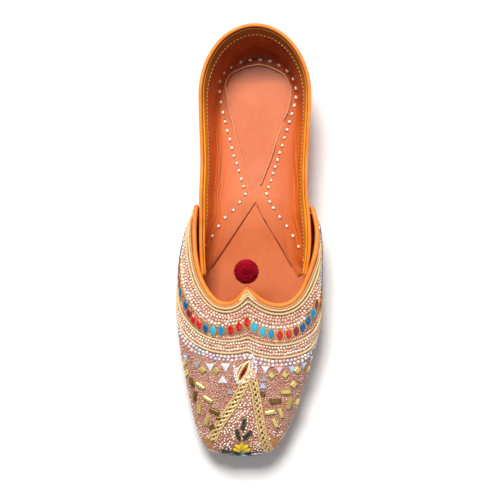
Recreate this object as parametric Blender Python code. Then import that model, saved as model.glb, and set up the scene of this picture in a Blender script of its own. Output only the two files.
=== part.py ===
"""One left mojari: a flat leather slip-on with a square toe, a plain leather back and a stiff
embroidered front whose throat has two lobes and a peak. Toe at -Y, heel at +Y, sole on Z = 0."""
import math

import bmesh
import bpy
import numpy as np
from mathutils import Vector
from mathutils.bvhtree import BVHTree

# Named sizes, in millimetres
MM = 0.001
LENGTH = 252.0
BALL_WIDTH = 86.0
HEEL_HEIGHT = 50.0
SOLE = 5.0
SOLE_MARGIN = 1.0
SOLE_ROUND = 0.7
INSOLE = 2.0
FLAP = 1.2
WALL = 1.8
QUARTER_WALL = 1.8
REST = 0.1
CLEAR = 0.3
TOE_SPRING = 5.0
ARCH = 1.5
BINDING = 1.5
BEAD = 1.15
FACING_WIDTH = 8.0
FACING = 0.8
BRAID_WIDTH = 5.2
BRAID_HEIGHT = 1.4
BRAID_GAP = 0.4
POMPOM = 7.0
LOCK = 0.55

HEEL_END = LENGTH / 2
TOE_END = -LENGTH / 2
SOLE_HEEL = 118.0
FOOT_HEEL = SOLE_HEEL - SOLE_MARGIN
FOOT_TOE = -124.8
WIDE_TOE = -125.2

# Foot of the upper on the sole. at: share of LENGTH from the heel; mid, half: shares of BALL_WIDTH
FOOT = (
    # at, mid, half
    (0.087, 0.058, 0.312),
    (0.155, 0.056, 0.316),
    (0.183, 0.055, 0.321),
    (0.234, 0.052, 0.320),
    (0.329, 0.048, 0.314),
    (0.381, 0.043, 0.324),
    (0.433, 0.037, 0.351),
    (0.480, 0.028, 0.384),
    (0.532, 0.015, 0.413),
    (0.607, 0.006, 0.442),
    (0.659, 0.001, 0.445),
    (0.710, -0.004, 0.437),
    (0.762, -0.014, 0.417),
    (0.813, -0.023, 0.388),
    (0.865, -0.033, 0.353),
    (0.917, -0.044, 0.314),
    (0.944, -0.051, 0.292),
    (0.968, -0.057, 0.267),
)
# Widest line of the vamp
WIDE = (
    # at, mid, half
    (0.421, 0.038, 0.392),
    (0.433, 0.041, 0.411),
    (0.456, 0.034, 0.442),
    (0.480, 0.028, 0.456),
    (0.506, 0.024, 0.469),
    (0.532, 0.015, 0.478),
    (0.556, 0.010, 0.483),
    (0.607, 0.005, 0.488),
    (0.659, 0.001, 0.492),
    (0.710, -0.004, 0.478),
    (0.762, -0.014, 0.450),
    (0.813, -0.023, 0.413),
    (0.865, -0.033, 0.376),
    (0.917, -0.044, 0.330),
    (0.940, -0.051, 0.305),
    (0.968, -0.057, 0.274),
)
# Rim of the quarter. height: share of HEEL_HEIGHT
RIM = (
    # at, mid, half, height
    (0.000, 0.055, 0.376, 1.000),
    (0.060, 0.055, 0.376, 0.990),
    (0.159, 0.055, 0.376, 0.945),
    (0.234, 0.052, 0.369, 0.890),
    (0.329, 0.047, 0.359, 0.845),
    (0.381, 0.042, 0.363, 0.830),
    (0.437, 0.050, 0.371, 0.815),
    (0.500, 0.053, 0.376, 0.790),
    (0.548, 0.049, 0.367, 0.750),
    (0.587, 0.041, 0.349, 0.710),
)
# Throat, the middle of the rolled binding, from the peak round each lobe to the wing's end
THROAT_LEFT = (
    # across, at, height
    (0.005, 0.600, 0.950),
    (-0.019, 0.611, 0.940),
    (-0.065, 0.630, 0.920),
    (-0.135, 0.639, 0.900),
    (-0.192, 0.635, 0.886),
    (-0.244, 0.619, 0.870),
    (-0.294, 0.593, 0.852),
    (-0.328, 0.562, 0.836),
    (-0.348, 0.528, 0.824),
    (-0.355, 0.492, 0.820),
    (-0.356, 0.460, 0.820),
    (-0.351, 0.433, 0.812),
    (-0.344, 0.413, 0.770),
)
THROAT_RIGHT = (
    # across, at, height
    (0.005, 0.600, 0.950),
    (0.031, 0.610, 0.940),
    (0.086, 0.627, 0.920),
    (0.157, 0.639, 0.900),
    (0.227, 0.642, 0.890),
    (0.293, 0.635, 0.874),
    (0.349, 0.617, 0.860),
    (0.395, 0.587, 0.846),
    (0.433, 0.552, 0.832),
    (0.456, 0.525, 0.824),
    (0.469, 0.496, 0.820),
    (0.470, 0.470, 0.820),
    (0.458, 0.444, 0.812),
    (0.436, 0.419, 0.770),
)
# Height of the widest line over the sole's lift. share: share of the way from toe to wing
WIDE_HEIGHT = (
    # share, height
    (0.00, 0.22),
    (0.14, 0.24),
    (0.40, 0.36),
    (0.65, 0.42),
    (1.00, 0.44),
)
# Leaf-shaped slit in the toe and the two openings of the turned-in flaps
SLIT = (
    # across, at
    (0.001, 0.777),
    (-0.006, 0.788),
    (-0.030, 0.811),
    (-0.061, 0.819),
    (-0.073, 0.806),
    (-0.062, 0.789),
    (-0.034, 0.777),
)
TEARDROP = (
    # across, at
    (0.044, 0.384),
    (0.003, 0.356),
    (-0.090, 0.261),
    (-0.140, 0.197),
    (-0.170, 0.135),
    (-0.147, 0.106),
    (-0.100, 0.091),
    (-0.030, 0.082),
    (0.072, 0.078),
    (0.170, 0.085),
    (0.240, 0.100),
    (0.284, 0.127),
    (0.266, 0.191),
    (0.182, 0.275),
    (0.097, 0.353),
)
FRONT_OPENING = (
    # across, at
    (0.040, 0.402),
    (-0.302, 0.573),
    (-0.337, 0.567),
    (-0.700, 0.567),
    (-0.700, 1.100),
    (0.700, 1.100),
    (0.700, 0.567),
    (0.388, 0.567),
    (0.333, 0.578),
    (0.248, 0.524),
    (0.103, 0.446),
)
BRAID_LEFT = (
    # across, at
    (0.006, 0.801),
    (-0.045, 0.838),
    (-0.102, 0.874),
    (-0.165, 0.906),
    (-0.215, 0.933),
    (-0.243, 0.957),
)
BRAID_RIGHT = (
    # across, at
    (0.014, 0.795),
    (0.043, 0.842),
    (0.070, 0.897),
    (0.090, 0.935),
    (0.108, 0.966),
)


def y_at(at):
    """Y of a share of the length from the heel."""
    return HEEL_END - LENGTH * at


def column(table, name_index):
    return np.array([row[name_index] for row in table])


def smooth(x, xs, ys):
    """A cubic through the rows of a table, straight past its ends."""
    xs = np.asarray(xs, float)
    ys = np.asarray(ys, float)
    x = np.asarray(x, float)
    slopes = np.gradient(ys, xs)
    i = np.clip(np.searchsorted(xs, x) - 1, 0, len(xs) - 2)
    width = xs[i + 1] - xs[i]
    t = np.clip((x - xs[i]) / width, 0, 1)
    value = (
        (2 * t**3 - 3 * t**2 + 1) * ys[i]
        + (t**3 - 2 * t**2 + t) * width * slopes[i]
        + (3 * t**2 - 2 * t**3) * ys[i + 1]
        + (t**3 - t**2) * width * slopes[i + 1]
    )
    below = np.minimum(x - xs[0], 0) * slopes[0]
    above = np.maximum(x - xs[-1], 0) * slopes[-1]
    return value + below + above


def lift(y):
    """How far the sole rises off the floor at Y: the arch, and the spring of the toe."""
    y = np.asarray(y, float)
    toe = np.clip((-58 - y) / (-58 - TOE_END), 0, 1)
    arch = np.clip((y + 16) / 70, 0, 1)
    return TOE_SPRING * toe**2 + ARCH * np.sin(math.pi * arch) ** 2


def side(table, across_sign, y, heel=None, toe=None):
    """X of an outline at Y on one side, closed at the heel by an ellipse and at the toe squarely."""
    at = (HEEL_END - np.asarray(y, float)) / LENGTH
    mid = smooth(at, column(table, 0), column(table, 1)) * BALL_WIDTH
    half = smooth(at, column(table, 0), column(table, 2)) * BALL_WIDTH
    if heel:
        end, depth = heel
        e = np.clip((y - end + depth) / depth, 0, 1)
        half = half * np.sqrt(1 - e**2)
    if toe:
        end, depth = toe
        e = np.clip((end + depth - y) / depth, 0, 1)
        half = half * (1 - e**4) ** 0.25
    return mid + across_sign * half


def side_ys(first, last, heel=None, toe=None, step=6.0):
    """Y of the points of one side from `first` down to `last`, closer together in the ends."""
    ys = [np.linspace(first, last, int(abs(first - last) / step) + 1)]
    if heel:
        end, depth = heel
        angles = np.linspace(math.pi / 2, 0, 14)
        ys.append(end - depth + depth * np.sin(angles))
    if toe:
        end, depth = toe
        angles = np.linspace(0, math.pi / 2, 13)
        ys.append(end + depth - depth * np.sin(angles) ** 0.5)
    ys = np.unique(np.round(np.concatenate(ys), 4))
    keep = (ys <= max(first, last)) & (ys >= min(first, last))
    ys = ys[keep]
    close = np.concatenate([[False], np.diff(ys) < 0.25])
    close[-1] = False
    return ys[~close][::-1]


def resample(points, shares):
    """Points of a polyline at shares of its length."""
    steps = np.linalg.norm(np.diff(points, axis=0), axis=1)
    along = np.concatenate([[0], np.cumsum(steps)])
    along = along / along[-1]
    return np.stack([np.interp(shares, along, points[:, k]) for k in range(points.shape[1])], -1)


def spline(rows, count=12):
    """A smooth curve through points."""
    rows = np.asarray(rows, float)
    steps = np.linalg.norm(np.diff(rows, axis=0), axis=1)
    along = np.concatenate([[0], np.cumsum(steps)])
    t = np.unique(np.concatenate([np.linspace(a, b, count) for a, b in zip(along[:-1], along[1:])]))
    return np.stack([smooth(t, along, rows[:, k]) for k in range(rows.shape[1])], -1)


def unit(v):
    return v / np.maximum(np.linalg.norm(v, axis=-1, keepdims=True), 1e-9)


def grid_normals(grid):
    """Normals of a grid of points, out of the side from which u runs left to right and v up."""
    along = np.gradient(grid, axis=0)
    up = np.gradient(grid, axis=1)
    return unit(np.cross(along, up))


# Meshes


def material(name, colour, roughness):
    made = bpy.data.materials.new(name)
    made.use_nodes = True
    shader = made.node_tree.nodes["Principled BSDF"]
    shader.inputs["Base Color"].default_value = (*colour, 1)
    shader.inputs["Roughness"].default_value = roughness
    return made


def add_node(name, points, faces, look, smooth_angle=40):
    """One object from points in millimetres and faces that point out."""
    mesh = bpy.data.meshes.new(name)
    mesh.from_pydata([tuple(p * MM) for p in np.asarray(points, float)], [], faces)
    mesh.update()
    obj = bpy.data.objects.new(name, mesh)
    bpy.context.scene.collection.objects.link(obj)
    mesh.materials.append(look)
    mesh.shade_smooth()
    mesh.set_sharp_from_angle(angle=math.radians(smooth_angle))
    return obj


def wall_solid(outer, inner):
    """Points and faces of the closed shell between two grids of the same size."""
    nu, nv = outer.shape[:2]
    size = nu * nv
    points = np.concatenate([outer.reshape(-1, 3), inner.reshape(-1, 3)])
    faces = []
    for i in range(nu - 1):
        for j in range(nv - 1):
            a = i * nv + j
            b = a + nv
            faces.append((a, b, b + 1, a + 1))
            faces.append((a + size, a + 1 + size, b + 1 + size, b + size))
    for i in range(nu - 1):
        a = i * nv
        b = a + nv
        faces.append((b, a, a + size, b + size))
        a += nv - 1
        b += nv - 1
        faces.append((a, b, b + size, a + size))
    for j in range(nv - 1):
        faces.append((j, j + 1, j + 1 + size, j + size))
        a = (nu - 1) * nv + j
        faces.append((a + 1, a, a + size, a + 1 + size))
    return points, faces


def tube(path, radius, sides=8):
    """Points and faces of a round cord along a path, with flat ends."""
    path = np.asarray(path, float)
    tangents = unit(np.gradient(path, axis=0))
    across = unit(np.cross(tangents[0], (0.0, 0.0, 1.0)))
    points = []
    for i, tangent in enumerate(tangents):
        across = unit(across - tangent * np.dot(across, tangent))
        up = np.cross(tangent, across)
        bend = 1.0
        if 0 < i < len(path) - 1:
            bend = max(np.dot(unit(path[i + 1] - path[i]), tangent), 0.75)
        for k in range(sides):
            angle = 2 * math.pi * (k + 0.5) / sides
            reach = radius * math.cos(angle) * across / bend + radius * math.sin(angle) * up
            points.append(path[i] + reach)
    faces = []
    for i in range(len(path) - 1):
        for k in range(sides):
            a = i * sides + k
            b = i * sides + (k + 1) % sides
            faces.append((a, b, b + sides, a + sides))
    faces.append(tuple(range(sides))[::-1])
    faces.append(tuple(range((len(path) - 1) * sides, len(path) * sides)))
    return np.array(points), faces


def ladder_slab(rings, heights):
    """Points and faces of a slab. Each ring is (left, right) sides from heel to toe at the same Y."""
    points = []
    count = len(rings[0][0])
    loop = 2 * count - 2
    for (left, right), rise in zip(rings, heights):
        ring = np.concatenate([left, right[-2:0:-1]])
        z = rise + lift(ring[:, 1])
        points.append(np.column_stack([ring, z]))
    points = np.concatenate(points)
    faces = []
    for r in range(len(rings) - 1):
        for k in range(loop):
            a = r * loop + k
            b = r * loop + (k + 1) % loop
            faces.append((a, b, b + loop, a + loop))

    def cap(base, flip):
        for i in range(count - 1):
            left = (i, i + 1)
            right = (-i % loop, -(i + 1) % loop)
            quad = [base + left[0], base + right[0], base + right[1], base + left[1]]
            quad = [v for n, v in enumerate(quad) if v not in quad[:n]]
            faces.append(tuple(quad if flip else quad[::-1]))

    cap(0, True)
    cap((len(rings) - 1) * loop, False)
    return points, faces


def inset_sides(table, inset, heel, toe):
    """Left and right sides of an outline taken in by `inset`, from the heel to the toe."""
    ys = side_ys(heel[0], toe[0], heel, toe)
    left = side(table, -1, ys, heel, toe)
    right = side(table, 1, ys, heel, toe)
    mid = (left + right) / 2
    half = (right - left) / 2
    centre = (heel[0] + toe[0]) / 2
    ys = ys - inset * (ys - centre) / (heel[0] - centre)
    half = np.maximum(half - inset, half * 0.5)
    half[0] = 0
    half[-1] = 0
    return np.column_stack([mid - half, ys]), np.column_stack([mid + half, ys])


def prism(name, table, low, high, rounded=0):
    """A hidden upright cutter over a closed plan of table points, rounded between them if asked."""
    plan = np.array([(across * BALL_WIDTH, y_at(at)) for across, at in table])
    if rounded:
        n = len(plan)
        loop = spline(np.concatenate([plan, plan, plan]), rounded + 1)
        first = n * rounded
        plan = loop[first: first + n * rounded]
    area = np.sum(plan[:, 0] * np.roll(plan[:, 1], -1) - plan[:, 1] * np.roll(plan[:, 0], -1))
    if area < 0:
        plan = plan[::-1]
    n = len(plan)
    points = [(*p, low) for p in plan] + [(*p, high) for p in plan]
    faces = [tuple(range(n))[::-1], tuple(range(n, 2 * n))]
    faces += [(k, (k + 1) % n, (k + 1) % n + n, k + n) for k in range(n)]
    cutter = add_node(name, points, faces, hidden)
    cutter.hide_render = True
    cutter.display_type = "WIRE"
    return cutter


def cut(obj, cutter):
    modifier = obj.modifiers.new("cut", "BOOLEAN")
    modifier.operation = "DIFFERENCE"
    modifier.solver = "EXACT"
    modifier.object = cutter


# Surfaces of the upper


def wing_lines(table_side):
    """The throat of one side as a smooth curve from the peak to the wing's end."""
    rows = [(across * BALL_WIDTH, y_at(at), height * HEEL_HEIGHT) for across, at, height in table_side]
    return spline(rows)


def half_outline(table, sign, last, toe):
    """One side of an outline in plan, from the toe's middle to Y = last."""
    ys = side_ys(last, toe[0], None, toe, 2.0)[::-1]
    return np.column_stack([side(table, sign, ys, None, toe), ys])


def vamp_profile(foot, wide, throat, rises):
    """A fine line up the vamp: out from the foot to the widest point, over a shoulder, to the throat."""
    low = SOLE + REST + lift(foot[1])
    wide_z = rises + lift(wide[1])
    angles = np.linspace(0, math.pi / 2, 9)
    swell = np.sin(angles)[:, None]
    wall = np.column_stack([foot + (wide - foot) * swell, low + (wide_z - low) * angles / angles[-1]])
    run = np.linalg.norm(throat[:2] - wide)
    shoulder = run * 11 / (run**3 + 11**3) ** (1 / 3)
    share = 1 / (1 + run / 48)
    rise = throat[2] - wide_z
    bend = shoulder * (1 - np.cos(np.linspace(0, math.pi / 2, 16)[1:]))
    reach = np.concatenate([bend, np.linspace(shoulder, run, 24)[1:]])
    turn = np.sqrt(1 - np.clip(1 - reach / shoulder, 0, 1) ** 2)
    slope = 1 - (1 - reach / run) ** 1.25
    over = wide + (throat[:2] - wide) * (reach / run)[:, None]
    top = np.column_stack([over, wide_z + rise * (share * turn + (1 - share) * slope)])
    return wall, np.concatenate([wall[-1:], top])


VAMP_SHARES = np.concatenate([np.linspace(0, 0.2, 9), np.linspace(0.2, 1, 19)[1:]])
WALL_ROWS = 4
TOP_ROWS = 10


def vamp_lines(throat_push):
    """The vamp's outer surface as columns from the left wing's end round the toe to the right's."""
    columns = []
    for sign, table in ((-1, THROAT_LEFT), (1, THROAT_RIGHT)):
        throat = wing_lines(table)
        wide = half_outline(WIDE, sign, y_at(WIDE[0][0]), (WIDE_TOE, 14.5))
        foot = half_outline(FOOT, sign, y_at(WIDE[0][0]), (FOOT_TOE, 13.5))
        shares = VAMP_SHARES
        throats = resample(throat, shares**1.35)
        wides = resample(wide, shares)
        feet = resample(foot, shares)
        rises = smooth(shares, column(WIDE_HEIGHT, 0), column(WIDE_HEIGHT, 1)) * HEEL_HEIGHT
        lines = []
        for k in range(len(shares)):
            end = throats[k]
            if throat_push is not None:
                end = end + throat_push[sign][k]
            lines.append(vamp_profile(feet[k], wides[k], end, rises[k]))
        columns.append(lines)
    return columns[0][::-1] + columns[1][1:]


def vamp_grid(lines, stops):
    """Rows of points up each column, the last one its stop short of the throat line."""
    grid = []
    for (wall, top), stop in zip(lines, stops):
        length = np.linalg.norm(np.diff(top, axis=0), axis=1).sum()
        rows = (np.arange(TOP_ROWS + 1) / TOP_ROWS) ** 1.45 * (1 - stop / length)
        low = resample(wall, np.linspace(0, 1, WALL_ROWS + 1))
        grid.append(np.concatenate([low, resample(top, rows)[1:]]))
    return np.array(grid)


def shell_inner(outer, thickness):
    """The inside of a wall: in along the normals, and level at the foot."""
    normals = grid_normals(outer)
    flat = normals[:, 0] * (1, 1, 0)
    normals[:, 0] = unit(flat)
    inner = outer - normals * thickness
    inner[:, 0, 2] = outer[:, 0, 2]
    return inner


# Clear the scene, then the looks

for old in list(bpy.data.objects):
    bpy.data.objects.remove(old)

hidden = material("cutter", (0.5, 0.5, 0.5), 0.5)
sole_look = material("sole_leather", (0.42, 0.17, 0.06), 0.6)
insole_look = material("insole_leather", (0.80, 0.27, 0.10), 0.5)
flap_look = material("flap_leather", (0.80, 0.22, 0.09), 0.5)
lining_look = material("lining_leather", (0.72, 0.18, 0.04), 0.5)
binding_look = material("binding_leather", (0.85, 0.28, 0.04), 0.45)
facing_look = material("facing_leather", (0.55, 0.19, 0.01), 0.5)
cloth_look = material("rose_cloth", (0.50, 0.24, 0.18), 0.7)
braid_look = material("gold_braid", (0.75, 0.55, 0.22), 0.45)
wool_look = material("crimson_wool", (0.35, 0.0, 0.02), 0.9)

# Outsole

heel_close = (SOLE_HEEL, 38.0)
toe_close = (FOOT_TOE - SOLE_MARGIN, 14.0)
SOLE_TABLE = [(at, mid, half + SOLE_MARGIN / BALL_WIDTH) for at, mid, half in FOOT]
full = inset_sides(SOLE_TABLE, 0.0, heel_close, toe_close)
drawn = inset_sides(SOLE_TABLE, SOLE_ROUND, heel_close, toe_close)
rings = [drawn, full, full, drawn]
heights = [0.0, SOLE_ROUND, SOLE - SOLE_ROUND, SOLE]
points, faces = ladder_slab(rings, heights)
add_node("outsole", points, faces, sole_look)

# Vamp

NO_STOPS = np.zeros(2 * len(VAMP_SHARES) - 1)
first = vamp_grid(vamp_lines(None), NO_STOPS)
edge = grid_normals(first)[:, -1] * WALL / 2
half_count = len(VAMP_SHARES)
push = {-1: edge[:half_count][::-1], 1: edge[half_count - 1:]}
lines = vamp_lines(push)
full_grid = vamp_grid(lines, NO_STOPS)


def slant(edge_line, inner_line):
    """How much further along a slanting row a point is than straight in from the edge."""
    heading = unit(np.gradient(edge_line, axis=0))
    inward = unit(inner_line - edge_line)
    sine = np.linalg.norm(np.cross(heading, inward), axis=-1)
    return 1 / np.maximum(sine, 0.4)


BACK_OFF = BINDING + CLEAR + 0.5
stops = BACK_OFF * slant(full_grid[:, -1], full_grid[:, -2])
outer = vamp_grid(lines, stops)
for last, beside in ((0, 1), (-1, -2)):
    steps = outer[beside] - outer[last]
    reach = BACK_OFF * slant(outer[last], outer[beside]) / np.linalg.norm(steps, axis=-1)
    outer[last] += steps * np.minimum(reach, 0.9)[:, None]
inner = shell_inner(outer, WALL)
vamp_points, vamp_faces = wall_solid(outer, inner)
vamp = add_node("vamp", vamp_points, vamp_faces, cloth_look, 60)
vamp_tree = BVHTree.FromPolygons(
    [tuple(p) for p in outer.reshape(-1, 3)],
    [f for f in vamp_faces if max(f) < outer.shape[0] * outer.shape[1]],
)
cut(vamp, prism("slit_cutter", SLIT, 8.0, 60.0, 2))

# Rolled binding down one wing's end, along the throat and down the other end

normals = grid_normals(full_grid)
middle = full_grid - normals * WALL / 2
left_end = middle[0, 1:]
right_end = middle[-1, 1:]
left_end = left_end[left_end[:, 2] < middle[0, -1, 2] - 3]
right_end = right_end[right_end[:, 2] < middle[-1, -1, 2] - 3]
throat_line = middle[:, -1]
path = np.concatenate([left_end, throat_line, right_end[::-1]])
peak = len(left_end) + half_count - 1
before = resample(path[: peak + 1], np.linspace(0, 1, 46))
after = resample(path[peak:], np.linspace(0, 1, 46))
path = np.concatenate([before, after[1:]])
points, faces = tube(path, BINDING)
add_node("vamp_binding", points, faces, binding_look)

# Quarter, its rim and the facing inside it

FRONT_OF_TAB = y_at(RIM[-1][0])


def quarter_foot(sign, count):
    heel = (FOOT_HEEL, 37.0)
    ys = side_ys(FOOT_HEEL, FRONT_OF_TAB, heel, None, 3.0)
    left = side(FOOT, -1, ys, heel)
    right = side(FOOT, 1, ys, heel)
    under = np.clip((27 - ys) / 8, 0, 1) * (WALL + CLEAR + 0.7)
    half = (right - left) / 2 - under
    line = np.column_stack([(left + right) / 2 + sign * half, ys])
    return resample(line, np.linspace(0, 1, count))


def quarter_rim(sign, count):
    heel = (HEEL_END - 0.3, 41.0)
    ys = side_ys(heel[0], FRONT_OF_TAB, heel, None, 3.0)
    table = [row[:3] for row in RIM]
    line = np.column_stack([side(table, sign, ys, heel), ys])
    rise = smooth((HEEL_END - ys) / LENGTH, column(RIM, 0), column(RIM, 3)) * HEEL_HEIGHT
    line = np.column_stack([line, rise - BEAD - CLEAR])
    return resample(line, np.linspace(0, 1, count))


QUARTER_COLUMNS = 25
QUARTER_ROWS = 7
sides = []
for sign in (-1, 1):
    foot = quarter_foot(sign, QUARTER_COLUMNS)
    rim = quarter_rim(sign, QUARTER_COLUMNS)
    lines = []
    for (fx, fy), (rx, ry, rz) in zip(foot, rim):
        low = SOLE + REST + float(lift(fy))
        rise = np.linspace(0, 1, QUARTER_ROWS)
        flare = rise**2
        line = np.column_stack([fx + (rx - fx) * flare, fy + (ry - fy) * flare, low + (rz - low) * rise])
        lines.append(line)
    sides.append(lines)
outer = np.array(sides[1][::-1] + sides[0][1:])
inner = shell_inner(outer, QUARTER_WALL)
inner[:, -1, 2] = outer[:, -1, 2]
points, faces = wall_solid(outer, inner)
add_node("quarter", points, faces, lining_look, 60)

rim_path = (outer[:, -1] + inner[:, -1]) / 2 + (0, 0, BEAD + CLEAR)
points, faces = tube(rim_path, BEAD)
add_node("quarter_rim", points, faces, binding_look)

into = -grid_normals(outer)
top = inner[:, -1]
length = np.linalg.norm(inner[:, -1] - inner[:, -2], axis=1)
back_face = []
for i in range(len(inner)):
    line = inner[i, ::-1]
    steps = np.concatenate([[0], np.cumsum(np.linalg.norm(np.diff(line, axis=0), axis=1))])
    spots = np.linspace(0.2, FACING_WIDTH, 4)
    back_face.append(np.stack([np.interp(spots, steps, line[:, k]) for k in range(3)], -1))
back_face = np.array(back_face)
facing_normals = -grid_normals(back_face)
facing_normals *= np.sign(np.sum(facing_normals * into[:, -1:], axis=-1, keepdims=True))
near = back_face + facing_normals * CLEAR
far = back_face + facing_normals * (CLEAR + FACING)
points, faces = wall_solid(far, near)
add_node("quarter_facing", points, faces, facing_look, 60)

# Insole and the turned-in flaps of the lining, sewn down on it

inside = WALL + CLEAR
tab_room = QUARTER_WALL + 2 * CLEAR + WALL + 0.7
INSOLE_TABLE = []
for at, mid, half in FOOT:
    y = y_at(at)
    under = np.clip((27 - y) / 8, 0, 1) * np.clip((y + 44) / 18, 0, 1)
    take = inside + (tab_room - inside) * under
    INSOLE_TABLE.append((at, mid, half - take / BALL_WIDTH))
heel_close = (FOOT_HEEL - inside, 37.0 - inside)
toe_close = (FOOT_TOE + inside + 0.5, 12.0)
low_z = SOLE + REST
plan = inset_sides(INSOLE_TABLE, 0.0, heel_close, toe_close)
points, faces = ladder_slab([plan, plan], [low_z, low_z + INSOLE])
add_node("insole", points, faces, insole_look)

low_z = low_z + INSOLE + REST
points, faces = ladder_slab([plan, plan], [low_z, low_z + FLAP])
flaps = add_node("insole_flaps", points, faces, flap_look)
cut(flaps, prism("teardrop_cutter", TEARDROP, 2.0, 20.0, 3))
cut(flaps, prism("front_cutter", FRONT_OPENING, 2.0, 30.0))

# The raised V of braid on the toe, laid on the vamp's own surface


def braid_points(table, count=15):
    line = spline([(across * BALL_WIDTH, y_at(at)) for across, at in table])
    line = resample(line, np.linspace(0, 1, count))
    heading = unit(np.gradient(line, axis=0))
    over = np.column_stack([heading[:, 1], -heading[:, 0]])
    shape = ((-1.0, 0.0), (-0.86, 0.62), (-0.45, 1.0), (0.0, 1.05), (0.45, 1.0), (0.86, 0.62), (1.0, 0.0))
    outer = []
    inner = []
    for k in range(count):
        width = BRAID_WIDTH / 2 * (0.8 + 0.2 * min(k / 4, 1))
        ups = []
        lows = []
        for across, high in shape:
            x, y = line[k] + over[k] * across * width
            hit = vamp_tree.ray_cast(Vector((x, y, 80.0)), Vector((0, 0, -1)))
            spot = np.array(hit[0])
            normal = np.array(hit[1])
            normal = normal * np.sign(normal[2])
            lows.append(spot + normal * BRAID_GAP)
            ups.append(spot + normal * (BRAID_GAP + 0.25 + BRAID_HEIGHT * high))
        outer.append(ups)
        inner.append(lows)
    return np.array(outer), np.array(inner)


pieces = []
for name, table in (("toe_braid_left", BRAID_LEFT), ("toe_braid_right", BRAID_RIGHT)):
    ups, lows = braid_points(table)
    facing_up = np.sum(grid_normals(ups)[..., 2]) > 0
    if not facing_up:
        ups = ups[:, ::-1]
        lows = lows[:, ::-1]
    points, faces = wall_solid(ups, lows)
    pieces.append(add_node(name, points, faces, braid_look, 60))
trim, other = pieces
joined = trim.modifiers.new("join", "BOOLEAN")
joined.operation = "UNION"
joined.solver = "EXACT"
joined.object = other
other.hide_render = True
other.display_type = "WIRE"
trim.name = "toe_trim"

# Pompom at the throat's peak: a ball with blunt locks

bpy.ops.mesh.primitive_ico_sphere_add(subdivisions=3, radius=POMPOM)
pompom = bpy.context.object
pompom.name = "pompom"
pompom.data.materials.append(wool_look)
peak_x = THROAT_LEFT[0][0] * BALL_WIDTH
peak_y = y_at(THROAT_LEFT[0][1])
centre = Vector((peak_x - 0.5, peak_y + BINDING + POMPOM + LOCK, HEEL_HEIGHT * 0.98))
ball = bmesh.new()
ball.from_mesh(pompom.data)
ball_corners = set(ball.verts)
bmesh.ops.poke(ball, faces=ball.faces[:])
for vertex in ball.verts:
    out = vertex.co.normalized()
    reach = POMPOM - LOCK if vertex in ball_corners else POMPOM + LOCK
    vertex.co = (centre + out * reach) * MM
ball.to_mesh(pompom.data)
ball.free()
pompom.data.shade_smooth()
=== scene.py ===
# %% [markdown]
# # A beaded mojari
# A mojari is a flat leather slip-on. Its back is one plain strip of leather, its front is a
# stiff shell covered with metal cord, glass beads and cut stones, and a wool pompom sits at the
# peak of the throat. This lesson dresses the finished solid model of the left shoe. The solids
# stay where they are: each piece of the lesson is laid on them, and takes its size from them.

import math

import bmesh
import bpy
import numpy as np
from mathutils import Matrix, Vector
from mathutils.bvhtree import BVHTree


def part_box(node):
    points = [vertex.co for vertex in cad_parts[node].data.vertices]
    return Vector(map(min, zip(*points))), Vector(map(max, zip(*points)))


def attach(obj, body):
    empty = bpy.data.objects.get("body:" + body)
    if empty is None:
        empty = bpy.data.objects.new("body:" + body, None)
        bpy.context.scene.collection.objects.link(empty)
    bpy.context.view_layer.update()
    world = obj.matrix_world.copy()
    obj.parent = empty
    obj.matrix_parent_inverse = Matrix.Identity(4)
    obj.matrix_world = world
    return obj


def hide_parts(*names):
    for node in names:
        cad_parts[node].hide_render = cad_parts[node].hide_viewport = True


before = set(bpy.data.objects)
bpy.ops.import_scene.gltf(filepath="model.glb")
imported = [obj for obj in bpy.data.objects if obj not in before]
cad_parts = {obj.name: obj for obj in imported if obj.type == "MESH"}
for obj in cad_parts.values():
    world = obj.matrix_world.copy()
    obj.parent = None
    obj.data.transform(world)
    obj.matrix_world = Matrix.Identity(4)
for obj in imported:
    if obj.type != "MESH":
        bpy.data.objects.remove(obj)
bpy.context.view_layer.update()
MM = 0.001
random = np.random.default_rng(38)
print("solids:", sorted(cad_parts))

# %% [markdown]
# ## Shader sums
# A material is easier to read as sums than as a drawing of nodes. `Wire` wraps one output of a
# node, and adding or multiplying two wires adds the Math node that does it. `Look` holds one
# material, and its `node` makes any other node.


# %% Shader sums
class Wire:
    """One output of a shader node that takes part in sums."""

    def __init__(self, look, socket):
        self.look = look
        self.socket = socket

    def sum(self, operation, first, second=0.0):
        return self.look.node("Math", {"operation": operation}, first, second)

    def __add__(self, other):
        return self.sum("ADD", self, other)

    __radd__ = __add__

    def __sub__(self, other):
        return self.sum("SUBTRACT", self, other)

    def __rsub__(self, other):
        return self.sum("SUBTRACT", other, self)

    def __mul__(self, other):
        return self.sum("MULTIPLY", self, other)

    __rmul__ = __mul__

    def __pow__(self, other):
        return self.sum("POWER", self, other)

    def above(self, level, width):
        """0 below the level and 1 above it, with a soft edge of that width."""
        settings = {"clamp": True}
        return self.look.node("MapRange", settings, self, level - width / 2, level + width / 2)


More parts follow.
